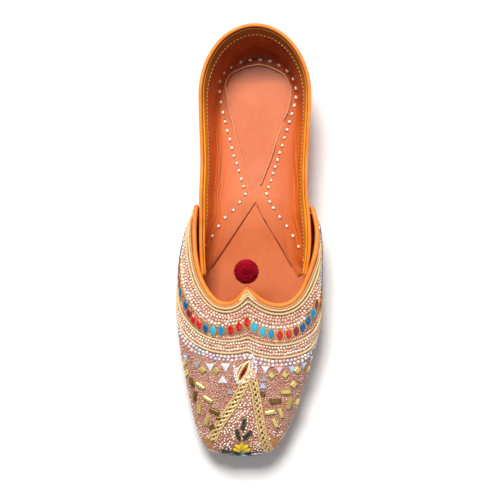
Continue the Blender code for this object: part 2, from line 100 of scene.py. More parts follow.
class Look:
    """One material. Its surface is a Principled shader."""

    def __init__(self, name, **values):
        self.material = bpy.data.materials.new(name)
        self.material.use_nodes = True
        self.tree = self.material.node_tree
        self.shader = self.tree.nodes["Principled BSDF"]
        for socket, value in values.items():
            self.shader.inputs[socket.replace("_", " ")].default_value = value

    def node(self, kind, settings=None, *inputs, output=0, **named):
        made = self.tree.nodes.new("ShaderNode" + kind)
        for key, value in (settings or {}).items():
            if key == "stops":
                self.set_stops(made.color_ramp, value)
            else:
                setattr(made, key, value)
        for place, value in list(enumerate(inputs)) + list(named.items()):
            if value is None:
                continue
            key = place if isinstance(place, int) else place.replace("_", " ")
            self.join(made.inputs[key], value)
        return Wire(self, made.outputs[output])

    def join(self, socket, value):
        if isinstance(value, Wire):
            self.tree.links.new(value.socket, socket)
        else:
            socket.default_value = value

    def set_stops(self, ramp, stops):
        while len(ramp.elements) < len(stops):
            ramp.elements.new(0.5)
        for element, (place, colour) in zip(ramp.elements, stops):
            element.position = place
            element.color = (*colour, 1.0)

    def mix(self, share, first, second):
        """A colour between two colours."""
        made = self.tree.nodes.new("ShaderNodeMix")
        made.data_type = "RGBA"
        self.join(made.inputs[0], share)
        for socket, value in ((made.inputs[6], first), (made.inputs[7], second)):
            self.join(socket, value if isinstance(value, Wire) else (*value, 1.0))
        return Wire(self, made.outputs[2])

    def noise(self, scale, detail=3.0, stretch=(1.0, 1.0, 1.0), rough=0.55):
        """Noise over the object's own coordinates, drawn out along an axis by a small stretch."""
        where = self.node("TexCoord", None, output=3)
        where = self.node("VectorMath", {"operation": "MULTIPLY"}, where, stretch)
        return self.node(
            "TexNoise", None, Vector=where, Scale=scale, Detail=detail, Roughness=rough
        )

    def cells(self, scale, feature="F1", output=0):
        where = self.node("TexCoord", None, output=3)
        return self.node("TexVoronoi", {"feature": feature}, Vector=where, Scale=scale, output=output)

    def attribute(self, name, output=0):
        return self.node("Attribute", {"attribute_name": name}, output=output)

    def surface(self, **wires):
        for socket, wire in wires.items():
            self.join(self.shader.inputs[socket.replace("_", " ")], wire)

    def bump(self, height, depth, strength=1.0):
        """Raises the surface by up to `depth` metres where the height is 1."""
        made = self.node("Bump", None, Strength=strength, Distance=depth, Height=height)
        self.join(self.shader.inputs["Normal"], made)


def srgb(red, green, blue):
    """A colour as a picture names it, 0 to 255, in the light's own scale."""

    def light(value):
        value = value / 255
        return value / 12.92 if value <= 0.04045 else ((value + 0.055) / 1.055) ** 2.4

    return (light(red), light(green), light(blue))


# %% [markdown]
# ## Leather looks
# All the leather here is vegetable tanned and dyed orange. It has a fine pebbled grain, a little
# mottling where the dye took unevenly, and a low sheen. The grain is a cell pattern, the mottling
# is large soft noise, and both also change the roughness a little. Shade is painted in as well:
# the colour darkens towards the heel, for the shadow of the heel wall, and the lining is darker on
# the floor than up the wall.


# %% Leather looks
def leather(
    name, light, dark, roughness, grain=0.00009, grain_scale=2600,
    streaks=None, middle=None, floor=None, heel_shade=None, rise=0.016, back_of=(0.086, 0.036),
):
    look = Look(name, Roughness=roughness, Specular_IOR_Level=0.4)
    mottle = look.noise(55, 4)
    fine = look.noise(420, 3)
    tone = (mottle * 0.75 + fine * 0.25).above(0.5, 0.36)
    colour = look.mix(tone, dark, light)
    height = look.cells(grain_scale, "DISTANCE_TO_EDGE").above(0.16, 0.3) * 0.6 + fine * 0.4
    where = look.node("TexCoord", None, output=3)
    across = look.node("SeparateXYZ", None, where)
    back = Wire(look, across.socket.node.outputs[1]).above(*back_of)
    height_up = Wire(look, across.socket.node.outputs[2])
    high = height_up.above(rise, 0.014)
    # painted shade: below the floor height the lining takes the darker floor colour, so the floor reads as shaded and
    # the wall as lit
    if floor:
        colour = look.mix(height_up.above(0.013, 0.006), floor, colour)
    if middle:
        off = look.node("Math", {"operation": "ABSOLUTE"}, across - 0.001)
        colour = look.mix(off.above(0.017, 0.016), middle, colour)
    # painted shade: towards the back, and above the rise height, the colour darkens to the heel shade colour, for the
    # shadow of the heel wall
    if heel_shade:
        colour = look.mix(back * high, colour, heel_shade)
    if streaks:
        lines = look.noise(150, 3, streaks)
        colour = look.mix(lines.above(0.36, 0.16), look.mix(0.3, colour, dark), colour)
        height = height + lines.above(0.5, 0.5) * 6.0
    look.surface(Base_Color=colour, Roughness=roughness + (0.5 - fine.sum("ADD", fine, 0)) * 0.25)
    look.bump(height, grain)
    return look


# The heel colours given below are painted shade of the heel wall, and the lining's floor colour is painted shade too
lining = leather(
    "lining leather", srgb(248, 136, 50), srgb(228, 108, 32), 0.46,
    streaks=(1.0, 0.1, 0.25), middle=srgb(212, 110, 60), floor=srgb(190, 88, 26), heel_shade=srgb(150, 54, 6), rise=-0.02,
)
outer = leather("quarter leather", srgb(224, 108, 40), srgb(200, 82, 24), 0.42)
binding = leather("rolled leather", srgb(246, 146, 60), srgb(224, 114, 28), 0.36)
facing = leather("mustard facing", srgb(250, 166, 24), srgb(222, 134, 8), 0.5, heel_shade=srgb(140, 72, 4))
insole = leather(
    "insole leather", srgb(200, 106, 54), srgb(188, 90, 40), 0.4, grain=0.00004,
    heel_shade=srgb(112, 40, 12), rise=-0.02, back_of=(0.101, 0.012),
)
flaps = leather(
    "flap leather", srgb(194, 92, 28), srgb(172, 70, 16), 0.46,
    streaks=(1.0, 0.1, 0.25), middle=srgb(204, 110, 62), heel_shade=srgb(146, 52, 8), rise=-0.02,
)
sole = leather("sole leather", srgb(190, 118, 62), srgb(150, 84, 38), 0.62)
print("leathers:", [m.name for m in bpy.data.materials if "leather" in m.name])

# %% [markdown]
# ## Smooth copies of the solids
# The solids are coarse on purpose. A copy of one is merged, its triangles are joined into four
# sided faces, its sharp edges are creased, and a Subdivision Surface modifier rounds the rest.


# %% Smooth copies of the solids
def only(obj):
    bpy.ops.object.select_all(action="DESELECT")
    obj.select_set(True)
    bpy.context.view_layer.objects.active = obj


def smooth_copy(node, name, levels=2, sharp=50):
    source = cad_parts[node]
    obj = bpy.data.objects.new(name, source.data.copy())
    bpy.context.scene.collection.objects.link(obj)
    obj.data.materials.clear()
    only(obj)
    bpy.ops.mesh.customdata_custom_splitnormals_clear()
    bpy.ops.object.mode_set(mode="EDIT")
    bpy.ops.mesh.select_all(action="SELECT")
    bpy.ops.mesh.remove_doubles(threshold=1e-6)
    bpy.ops.mesh.tris_convert_to_quads(face_threshold=0.7, shape_threshold=0.9)
    bpy.ops.object.mode_set(mode="OBJECT")
    work = bmesh.new()
    work.from_mesh(obj.data)
    crease = work.edges.layers.float.new("crease_edge")
    for edge in work.edges:
        if edge.calc_face_angle(0) > math.radians(sharp):
            edge[crease] = 1.0
    work.to_mesh(obj.data)
    work.free()
    if levels:
        rounded = obj.modifiers.new("round", "SUBSURF")
        rounded.levels = levels
        rounded.render_levels = levels
        bpy.ops.object.modifier_apply(modifier="round")
    bpy.ops.object.shade_smooth()
    return obj


def dress(obj, look, slot, *nodes):
    """The last step of each piece: its look, its body and what it stands for. The slot is not used."""
    if not obj.data.materials:
        obj.data.materials.append(look.material)
    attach(obj, "root")
    if nodes:
        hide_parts(*nodes)
    print(f"{obj.name}: {len(obj.data.polygons)} faces")
    return obj


def points_of(obj):
    points = np.empty(len(obj.data.vertices) * 3)
    obj.data.vertices.foreach_get("co", points)
    return points.reshape(-1, 3)


def normals_of(obj):
    normals = np.empty(len(obj.data.vertices) * 3)
    obj.data.vertices.foreach_get("normal", normals)
    return normals.reshape(-1, 3)


def move_points(obj, points):
    obj.data.vertices.foreach_set("co", points.reshape(-1))
    obj.data.update()


def unit(vectors):
    return vectors / np.maximum(np.linalg.norm(vectors, axis=-1, keepdims=True), 1e-12)


# %% [markdown]
# ## The leather back
# The quarter is one strip, from wing to wing round the heel, with a rolled edge along its top and
# a mustard tape sewn inside it. Their solids are smoothed, and the leather's grain does the rest.

# %% The leather back
quarter_piece = smooth_copy("quarter", "quarter_leather", 3)
dress(quarter_piece, outer, "lining_leather", "quarter")
rim_piece = dress(smooth_copy("quarter_rim", "quarter_rim_roll", 2), binding, "binding_leather", "quarter_rim")
facing_piece = dress(smooth_copy("quarter_facing", "quarter_facing_tape", 2), facing, "facing_leather", "quarter_facing")

# %% [markdown]
# ## Sole and insole
# The outsole is plain tan leather. The insole shows between two flaps, where the lining is turned
# in and sewn down: a teardrop under the heel and a wedge under the ball.

# %% Sole and insole
sole_piece = dress(smooth_copy("outsole", "outsole_leather", 0), sole, "sole_leather", "outsole")
insole_piece = dress(smooth_copy("insole", "insole_board", 0), insole, "insole_leather", "insole")
flap_piece = smooth_copy("insole_flaps", "insole_flap_leather", 0)
only(flap_piece)
edge_round = flap_piece.modifiers.new("edge", "BEVEL")
edge_round.width = 0.35 * MM
edge_round.segments = 2
edge_round.limit_method = "ANGLE"
edge_round.angle_limit = math.radians(50)
bpy.ops.object.modifier_apply(modifier="edge")
bpy.ops.object.shade_smooth_by_angle(angle=math.radians(40))
for piece in (sole_piece, insole_piece):
    only(piece)
    bpy.ops.object.shade_smooth_by_angle(angle=math.radians(40))
dress(flap_piece, flaps, "flap_leather", "insole_flaps")

# %% [markdown]
# ## Where the lining turns in
# The lining isn't cut at the foot of the wall. It hangs from the tape, turns in over the insole in
# a soft bend, and puckers lengthwise where the waist narrows. Here it is a thin sheet: at each
# station a curve runs down the wall, rounds the corner and meets the flap. The puckers are
# troughs and ridges pressed into the sheet, each with its place, its length and its depth.


# %% Where the lining turns in
def tree_of(obj):
    return BVHTree.FromPolygons([tuple(p) for p in points_of(obj)], [tuple(p.vertices) for p in obj.data.polygons])


wall_tree = tree_of(quarter_piece)
flap_tree = tree_of(flap_piece)
insole_tree = tree_of(insole_piece)
facing_tree = tree_of(facing_piece)
stations = [(Vector((1.0, y, 0)) * MM, 180.0) for y in np.arange(-17.5, 84, 1.5)]
stations += [(Vector((1.5, 85, 0)) * MM, angle) for angle in np.arange(180, -1, -3.0)]
stations += [(Vector((1.0, y, 0)) * MM, 0.0) for y in np.arange(83.5, -18, -1.5)]


def wall_at(station, height, tree=wall_tree):
    """Where a level ray from a station meets the wall."""
    middle, angle = station
    way = Vector((math.cos(math.radians(angle)), math.sin(math.radians(angle)), 0.0))
    return tree.ray_cast(middle + Vector((0, 0, height)), way)[0]


def floor_at(place):
    """The height of the flap, or else of the insole, under a place."""
    hits = [tree.ray_cast(Vector((place.x, place.y, 30 * MM)), Vector((0, 0, -1)))[0] for tree in (flap_tree, insole_tree)]
    return max((hit.z for hit in hits if hit), default=9 * MM)


def tape_foot(station):
    """The height of the tape's lower edge at a station."""
    heights = np.arange(20, 50, 0.4) * MM
    return next((h for h in heights if wall_at(station, h, facing_tree)), 30 * MM)


BEND, WALL_STEPS, BEND_STEPS = 9 * MM, 8, 24
profiles = []
for number, station in enumerate(stations):
    middle, angle = station
    taper = min(1.0, 0.15 + min(number, len(stations) - 1 - number) / 7)
    foot = wall_at(station, 11.5 * MM)
    heelward = max(0.0, min(1.0, (foot.y - 55 * MM) / (30 * MM)))
    turn_in = (9 - 5 * heelward) * MM * taper
    inward = (middle - foot).to_2d().normalized().to_3d()
    level = floor_at(foot + inward * 2 * MM)
    heights = np.linspace(tape_foot(station) + 0.6 * MM, level + BEND, WALL_STEPS + 1)
    line = [tuple(wall_at(station, h) + inward * 0.12 * MM) for h in heights[:-1]]
    upper = wall_at(station, heights[-1]) + inward * 0.12 * MM
    lower = wall_at(station, level + 0.3 * MM)
    corner = Vector((lower.x, lower.y, level + 0.1 * MM)) + inward * 0.2 * MM
    inner_end = corner + inward * turn_in
    inner_end.z = floor_at(inner_end) + 0.1 * MM
    for t in np.linspace(0, 1, BEND_STEPS + 1):
        line.append(tuple(upper * (1 - t) ** 2 + corner * 2 * t * (1 - t) + inner_end * t * t))
    profiles.append(line)
profiles = np.array(profiles)


def sheet(name, grid):
    """A sheet through a grid of points, from a primitive grid whose points are moved."""
    across, down = grid.shape[0] - 1, grid.shape[1] - 1
    bpy.ops.mesh.primitive_grid_add(x_subdivisions=across, y_subdivisions=down, size=1.0)
    obj = bpy.context.active_object
    obj.name = name
    flat = points_of(obj)
    i = np.round((flat[:, 0] + 0.5) * across).astype(int)
    j = np.round((flat[:, 1] + 0.5) * down).astype(int)
    move_points(obj, grid[i, j])
    return obj


PUCKERS = [
    (-1, 12, 30, 0.30, 0.34), (-1, 22, 26, 0.46, 0.40), (-1, 30, 22, 0.60, 0.36), (-1, 40, 20, 0.38, 0.32),
    (-1, 5, 18, 0.55, 0.30), (-1, 48, 18, 0.55, 0.28), (-1, 34, 16, 0.72, 0.24), (-1, 60, 14, 0.45, 0.18),
    (1, 14, 26, 0.42, 0.26), (1, 28, 22, 0.58, 0.24), (1, 44, 22, 0.40, 0.26), (1, 56, 14, 0.55, 0.18),
    (1, 5, 14, 0.62, 0.22),
]
bend_shares = (np.arange(profiles.shape[1]) - WALL_STEPS) / BEND_STEPS
along, t = np.meshgrid(np.arange(len(profiles)), bend_shares, indexing="ij")
normals = unit(np.cross(np.gradient(profiles, axis=1), np.gradient(profiles, axis=0)))
if normals[len(profiles) // 2, -3, 2] < 0:
    normals = -normals
depth = np.zeros(t.shape)
for side, y, reach, line, deep in PUCKERS:
    near = np.sign(profiles[:, :, 0]) == side
    run = (profiles[:, :, 1] / MM - y) / reach
    off = (t - line - 0.10 * run - 0.03 * np.sin(run * 5 + y)) / 0.034
    depth += near * deep * 1.25 * np.exp(-((run * 1.6) ** 2)) * (np.exp(-((off - 1) ** 2)) - np.exp(-((off + 1) ** 2)))
ends = np.clip((t + 0.3) / 0.15, 0, 1) * np.clip((1 - t) / 0.15, 0, 1)
turn_piece = sheet("lining_turn", profiles + normals * (depth * ends * MM)[:, :, None])
only(turn_piece)
rounded = turn_piece.modifiers.new("round", "SUBSURF")
rounded.levels = 1
rounded.render_levels = 1
bpy.ops.object.modifier_apply(modifier="round")
bpy.ops.object.shade_smooth()
dress(turn_piece, lining, "lining_leather")

# %% [markdown]
# ## The view from above
# The shoe was looked at from about 0.9 m, a little to the outer side. Small pieces are charted as
# they are seen from there: a place on the chart is a point on the floor, and a ray from the eye
# through it finds the place on the shoe. One chart step is 0.825 mm on the floor.

# %% The view from above
EYE = Vector((44.8, 1.7, 900.0)) * MM
CHART_STEP = 0.825 * MM
CHART_CENTRE = (250.0, 240.0)


class Skin:
    """The side of a piece that small things are laid on."""

    def __init__(self, obj, keep=None):
        points = points_of(obj)
        faces = [tuple(p.vertices) for p in obj.data.polygons]
        if keep is not None:
            faces = [f for f, k in zip(faces, keep) if k]
        self.tree = BVHTree.FromPolygons([tuple(p) for p in points], faces)

    def seen(self, across, down):
        """Where a chart place is on the skin, and the skin's normal there."""
        floor = EYE.copy()
        floor.x += (across - CHART_CENTRE[0]) * CHART_STEP
        floor.y += (CHART_CENTRE[1] - down) * CHART_STEP
        floor.z = 0.0
        place, normal, _, _ = self.tree.ray_cast(EYE, (floor - EYE).normalized())
        return place, normal

    def nearest(self, place):
        place, normal, _, _ = self.tree.find_nearest(place)
        return place, normal

    def near(self, across, down, height):
        """The skin nearest to the chart place as it would be at a height."""
        ray = Vector(((across - 250) * CHART_STEP, (240 - down) * CHART_STEP, -EYE.z))
        return self.nearest(EYE + ray * ((EYE.z - height) / EYE.z))


def core_of(centres, back, front):
    """A point inside the shoe level with each centre, to tell the outside from the inside."""
    ys = np.clip(centres[:, 1], front, back)
    return np.column_stack([np.full(len(ys), 1.0 * MM), ys, np.full(len(ys), 20 * MM)])


# %% [markdown]
# ## The front shell
# The vamp is cloth outside and leather inside. The cloth is dusty rose with a gold thread, and it
# is hardly seen between the beads: its bump is a field of tiny beads, finer than the real ones
# that are laid on it later.

# %% The front shell
cloth = Look("rose gold cloth", Roughness=0.5, Specular_IOR_Level=0.6)
seed = cloth.cells(1150)
seed_tint = cloth.cells(1150, output=1)
seed_value = cloth.node("SeparateColor", None, seed_tint)
sheen = cloth.noise(90, 4)
ground = cloth.mix(sheen.above(0.5, 0.4), srgb(184, 124, 108), srgb(216, 166, 150))
ground = cloth.mix(seed_value.above(0.62, 0.2) * 0.65, ground, srgb(232, 190, 160))
# painted shade: far from the middle of each tiny bead cell the colour goes to dark brown, for the shade between the
# fine beads
ground = cloth.mix(seed.above(0.46, 0.3) * 0.5, ground, srgb(132, 68, 50))
cloth.surface(Base_Color=ground, Metallic=seed_value.above(0.7, 0.2) * 0.5)
cloth.bump(1.0 - seed * seed * 3.0, 0.00025)

vamp_piece = smooth_copy("vamp", "vamp_shell", 2)
vamp_piece.data.materials.append(cloth.material)
vamp_piece.data.materials.append(lining.material)
centres = np.empty(len(vamp_piece.data.polygons) * 3)
vamp_piece.data.polygons.foreach_get("center", centres)
centres = centres.reshape(-1, 3)
facings = np.empty(len(vamp_piece.data.polygons) * 3)
vamp_piece.data.polygons.foreach_get("normal", facings)
facings = facings.reshape(-1, 3)
from_core = unit(centres - core_of(centres, 30 * MM, -104 * MM))
turned_out = np.sum(facings * from_core, axis=1)
inside = (turned_out < -0.3).astype(np.int32)
vamp_piece.data.polygons.foreach_set("material_index", inside)
outside = turned_out > 0.3
vamp_skin = Skin(vamp_piece, outside)
where = cloth.node("TexCoord", None, output=3)
bare = 0.0
CORNER_DROP = 0.42
for across, down in ((163.0, 389.4), (212.8, 388.8)):
    corner = tuple(vamp_skin.seen(across, down)[0])
    apart = cloth.node("VectorMath", {"operation": "SUBTRACT"}, where, corner)
    apart = cloth.node("VectorMath", {"operation": "MULTIPLY"}, apart, (1.0, 1.0, CORNER_DROP))
    away = cloth.node("VectorMath", {"operation": "LENGTH"}, apart, output=1)
    bare = bare + (1.0 - away.above(0.0046, 0.0012))
tan = cloth.mix(cloth.noise(300, 3), srgb(206, 132, 62), srgb(226, 156, 84))
cloth.surface(Base_Color=cloth.mix(bare, ground, tan), Roughness=0.5 + sheen * 0.1)
dress(vamp_piece, cloth, "rose_cloth", "vamp")
binding_piece = dress(smooth_copy("vamp_binding", "vamp_binding_roll", 2), binding, "binding_leather", "vamp_binding")

# %% [markdown]
# ## Many small things
# Beads, stones and stitches repeat by the hundred. Each is modelled once, as a few dozen faces,
# and `strew` joins a copy of it for every place into one mesh. A place is a point, the way it
# faces, the way it points, its size and its tint.


# %% Many small things
def take_mesh(obj):
    """The points and faces of a small model, which is then removed."""
    only(obj)
    bpy.ops.object.transform_apply()
    points = points_of(obj)
    faces = [tuple(p.vertices) for p in obj.data.polygons]
    bpy.data.objects.remove(obj)
    return points, faces


def frame_at(place, up, along):
    """A turn and a place: the model's Z to up and its Y to along."""
    up = Vector(up).normalized()
    along = Vector(along)
    along = (along - up * along.dot(up)).normalized()
    side = along.cross(up)
    turn = Matrix((side, along, up)).transposed()
    return Matrix.Translation(place) @ turn.to_4x4()


def strew(name, model, places, look, slot, smooth=True):
    """One piece from a model and its places. Each place is (matrix, size, tint)."""
    points, faces = model
    count = len(points)
    flat = np.empty((len(places) * count, 3))
    tints = np.empty((len(places) * count, 4))
    for number, (matrix, size, tint) in enumerate(places):
        turn = np.array(matrix.to_3x3()) * np.asarray(size, float)
        flat[number * count:(number + 1) * count] = points @ turn.T + np.array(matrix.translation)
        tints[number * count:(number + 1) * count] = (*tint, 1.0)
    every = [tuple(v + number * count for v in face) for number in range(len(places)) for face in faces]
    mesh = bpy.data.meshes.new(name)
    mesh.from_pydata([tuple(p) for p in flat], [], every)
    layer = mesh.color_attributes.new("tint", "FLOAT_COLOR", "POINT")
    layer.data.foreach_set("color", tints.reshape(-1))
    obj = bpy.data.objects.new(name, mesh)
    bpy.context.scene.collection.objects.link(obj)
    if smooth:
        mesh.shade_smooth()
    return dress(obj, look, slot)


# %% [markdown]
# ## Lines along the throat
# The embroidery runs in bands that keep their distance from the rolled edge of the throat. The
# middle of that roll is read from its solid, ring by ring. From each point of it a walk goes
# straight out over the shell in short steps, and joining the walks at one distance gives a line.


# %% Lines along the throat
def ring_centres(node, start):
    """Middles of the rings of a cord-shaped solid, walked from the ring at one end."""
    work = bmesh.new()
    work.from_mesh(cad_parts[node].data)
    bmesh.ops.remove_doubles(work, verts=work.verts, dist=1e-6)
    ring = sorted(work.verts, key=start)[:8]
    seen = set(ring)
    middles = []
    while ring:
        middles.append(sum((v.co for v in ring), Vector()) / len(ring))
        after = {e.other_vert(v) for v in ring for e in v.link_edges} - seen
        seen |= after
        ring = list(after)
    work.free()
    return np.array([tuple(m) for m in middles])


def even(points, step):
    """Points of a line at even steps along it."""
    points = np.asarray(points, float)
    lengths = np.linalg.norm(np.diff(points, axis=0), axis=1)
    along = np.concatenate([[0], np.cumsum(lengths)])
    count = max(int(round(along[-1] / step)), 1)
    want = np.linspace(0, along[-1], count + 1)
    return np.stack([np.interp(want, along, points[:, k]) for k in range(3)], -1)


def soften(points, times):
    points = np.array(points, float)
    for _ in range(times):
        points[1:-1] = points[1:-1] * 0.5 + (points[:-2] + points[2:]) * 0.25
    return points


roll = ring_centres("vamp_binding", lambda v: v.co.z + (1.0 if v.co.x > 0 else 0.0))
wing_left = int(np.argmax(roll[: len(roll) // 2, 1]))
wing_right = len(roll) // 2 + int(np.argmax(roll[len(roll) // 2:, 1]))
throat = even(roll[wing_left: wing_right + 1], 0.7 * MM)
peak = int(np.argmax(throat[:, 1] - np.abs(throat[:, 0]) * 4))
opening = Vector((4 * MM, -5 * MM, 60 * MM))
WALK_STEP = 0.5 * MM
WALK_STEPS = 84
heading = unit(np.gradient(throat, axis=0))
walks = np.empty((len(throat), WALK_STEPS, 3))
for number, (start, way) in enumerate(zip(throat, heading)):
    place, normal = vamp_skin.nearest(Vector(start))
    step = normal.cross(Vector(way)).normalized()
    if step.dot(Vector(start) - opening) < 0:
        step = -step
    place = Vector(start) + normal * 0.5 * MM
    for k in range(WALK_STEPS):
        walks[number, k] = place
        place, normal = vamp_skin.nearest(place + step * WALK_STEP)
        step = (step - normal * step.dot(normal)).normalized()
steps = np.linalg.norm(np.diff(walks, axis=1), axis=2)
reaches = np.concatenate([np.zeros((len(throat), 1)), np.cumsum(steps, axis=1)], axis=1)
print("throat:", len(throat), "points; peak at", np.round(throat[peak] / MM, 1))


def band(distance, step=0.7 * MM, easing=3):
    """The line over the shell at a distance from the middle of the roll."""
    share = 1.0 + 0.045 * np.tanh(throat[:, 0] / (15 * MM))
    line = np.empty((len(throat), 3))
    for number, want in enumerate(distance * MM * share):
        for axis in range(3):
            line[number, axis] = np.interp(want, reaches[number], walks[number, :, axis])
    own = np.linalg.norm(line - throat, axis=1)
    gaps = np.linalg.norm(line[:, None] - throat[None], axis=2).min(axis=1)
    kept = line[gaps > own - 0.35 * MM]
    return even(soften(even(kept, 1.0 * MM), easing), step)


# %% [markdown]
# ## Thread, glass and metal looks
# The shell carries five kinds of small thing: twisted metal cord, glass beads, foil-backed stones,
# mirrors and gold pieces. Each has one look, and a colour kept on every copy tells them apart.


# %% Thread, glass and metal looks
def metal(name, rub, shine, body=1.0):
    look = Look(name, Metallic=body, Roughness=shine)
    worn = look.noise(700, 3)
    tint = look.attribute("tint")
    look.surface(Base_Color=look.mix(worn.above(0.45, 0.35) * rub, tint, srgb(190, 142, 84)))
    look.surface(Roughness=worn * 0.3 + (shine - 0.1))
    return look


zari = metal("zari cord", 0.3, 0.46, 0.4)
gold = metal("gold pieces", 0.3, 0.22, 0.6)
mirror = metal("mirror glass", 0.08, 0.2, 0.35)

glass = Look("glass beads", Roughness=0.16, Specular_IOR_Level=0.7, Coat_Weight=0.6)
pearl_sheen = glass.node("LayerWeight", None, 0.4, output=1)
bead_tint = glass.attribute("tint")
glass.surface(Base_Color=glass.mix(pearl_sheen * 0.4, bead_tint, srgb(206, 134, 110)))
glass.surface(Metallic=glass.noise(900, 1).above(0.5, 0.3) * 0.35)

stone = Look("cut stones", Roughness=0.26, Specular_IOR_Level=0.5, Coat_Weight=0.15)
stone_tint = stone.attribute("tint")
# painted highlights: pale spots mixed at random into the stone colour stand for sparkle in the cut glass
painted_sparkle = stone.noise(1100, 2)
stone.surface(Base_Color=stone.mix(painted_sparkle.above(0.66, 0.2) * 0.3, stone_tint, (1.0, 1.0, 1.0)))
stone.surface(Metallic=painted_sparkle.above(0.5, 0.3) * 0.3)

GOLD = srgb(242, 220, 172)
PALE_GOLD = srgb(248, 232, 192)
BEZEL_GOLD = srgb(214, 172, 96)
PINK = [srgb(240, 200, 178), srgb(226, 170, 148), srgb(246, 218, 198), srgb(232, 186, 150)]
CREAM = [srgb(250, 236, 214), srgb(244, 224, 196), srgb(252, 242, 226)]
CRYSTAL = [srgb(246, 246, 250), srgb(196, 222, 240), srgb(244, 196, 214), srgb(250, 238, 222)]
RED = srgb(204, 10, 26)
DARK_RED = srgb(128, 8, 22)
BLUE = srgb(8, 140, 190)
TEAL = srgb(6, 96, 110)
DEEP_BLUE = srgb(8, 84, 140)
SKY = srgb(40, 178, 214)
YELLOW_GOLD = srgb(238, 222, 132)
OLIVE = srgb(104, 86, 26)
BUGLE = srgb(40, 46, 26)

# %% [markdown]
# ## Beads and stones to copy
# A bead is a ball cut coarse, because it is seen a millimetre wide. A marquise stone is a disc
# drawn out to two points, with a table inset in its top. Its bezel is the same disc, wider and
# flatter. A mirror is a three sided disc, a baguette is a bar, and all have bevelled edges.


# %% Beads and stones to copy
def ball_model(segments, rings, flat=0.8):
    bpy.ops.mesh.primitive_uv_sphere_add(segments=segments, ring_count=rings, radius=0.5)
    obj = bpy.context.active_object
    points = points_of(obj) * (1.0, 1.0, flat)
    move_points(obj, points)
    return take_mesh(obj)


def plate_model(corners, height, inset, table, pointed=False):
    """A low cut stone or plate, 1 across: a disc raised, with its top inset."""
    bpy.ops.object.select_all(action="DESELECT")
    bpy.ops.mesh.primitive_cylinder_add(vertices=corners, radius=0.5, depth=height, location=(0, 0, height / 2))
    obj = bpy.context.active_object
    bpy.ops.object.mode_set(mode="EDIT")
    bpy.ops.mesh.select_all(action="DESELECT")
    work = bmesh.from_edit_mesh(obj.data)
    work.faces.ensure_lookup_table()
    for face in work.faces:
        face.select = face.normal.z > 0.9
    bmesh.update_edit_mesh(obj.data)
    bpy.ops.mesh.inset(thickness=inset, depth=table)
    if pointed and table:
        bpy.ops.mesh.poke(offset=0.05)
    bpy.ops.object.mode_set(mode="OBJECT")
    if pointed:
        points = points_of(obj)
        reach = np.hypot(points[:, 0], points[:, 1])
        share = 1 - 2 * np.arctan2(np.abs(points[:, 0]), points[:, 1]) / math.pi
        points[:, 1] = reach * share
        points[:, 0] = np.sign(points[:, 0]) * reach * (1 - share**2)
        move_points(obj, points)
    return take_mesh(obj)


bead = ball_model(8, 6)
small_bead = ball_model(6, 4)
marquise = plate_model(12, 0.3, 0.16, 0.16, pointed=True)
bezel = plate_model(12, 0.35, 0.07, 0.0, pointed=True)
round_stone = plate_model(8, 0.35, 0.16, 0.12)
triangle = plate_model(3, 0.26, 0.12, 0.09)
square = plate_model(4, 0.3, 0.12, 0.12)
print("bead faces:", len(bead[1]), "stone faces:", len(marquise[1]))


def ramp_tint(tints):
    return tints[random.integers(len(tints))]


# %% [markdown]
# ## Cords and rows of beads
# A zari cord is two metal plies twisted together and couched down. Each ply is a helix round the
# line, made as a curve with a round bevel and then turned into a mesh. A row of beads is one
# bead after the other along a line, each turned a little.


# %% Cords and rows of beads
def skin_normals(line, skin):
    return np.array([tuple(skin.nearest(Vector(p))[1]) for p in line])


def cord_curves(lines, skin, radius, pitch, plies=2, lift=0.0):
    """Twisted cords along the lines, as one curve object."""
    curve = bpy.data.curves.new("cord", "CURVE")
    curve.dimensions = "3D"
    curve.bevel_depth = radius * 0.52
    curve.bevel_resolution = 1
    curve.use_fill_caps = True
    for line in lines:
        line = even(line, pitch / 7)
        normals = skin_normals(line, skin)
        ways = unit(np.gradient(line, axis=0))
        sides = unit(np.cross(ways, normals))
        middle = line + normals * (radius * 0.9 + lift)
        turns = np.arange(len(line)) / 7 * 2 * math.pi
        for ply in range(plies):
            angle = (turns + ply * 2 * math.pi / plies)[:, None]
            helix = middle + (sides * np.cos(angle) + normals * np.sin(angle)) * radius * 0.5
            spline = curve.splines.new("POLY")
            spline.points.add(len(helix) - 1)
            spline.points.foreach_set("co", np.column_stack([helix, np.ones(len(helix))]).reshape(-1))
    obj = bpy.data.objects.new("cord", curve)
    bpy.context.scene.collection.objects.link(obj)
    return obj


def cord_piece(name, lines, skin, radius, pitch, tint, plies=2, lift=0.0, slot="gold_braid"):
    obj = cord_curves(lines, skin, radius, pitch, plies, lift)
    only(obj)
    bpy.ops.object.convert(target="MESH")
    obj = bpy.context.active_object
    obj.name = name
    layer = obj.data.color_attributes.new("tint", "FLOAT_COLOR", "POINT")
    layer.data.foreach_set("color", np.tile((*tint, 1.0), len(obj.data.vertices)))
    bpy.ops.object.shade_smooth()
    return dress(obj, zari, slot)


def bead_row(line, step, size, tints, sink=0.3, wobble=0.12):
    """Places for beads along a line on the shell."""
    places = []
    line = even(line, step)
    ways = np.gradient(line, axis=0)
    for point, way in zip(line, ways):
        place, normal = vamp_skin.nearest(Vector(point))
        sideways = Vector(way).cross(normal).normalized() * float(random.normal(0, wobble * size))
        grown = size * float(random.uniform(0.9, 1.08))
        middle = place + sideways + normal * (0.4 - sink) * grown
        places.append((frame_at(middle, normal, way), grown, ramp_tint(tints)))
    return places


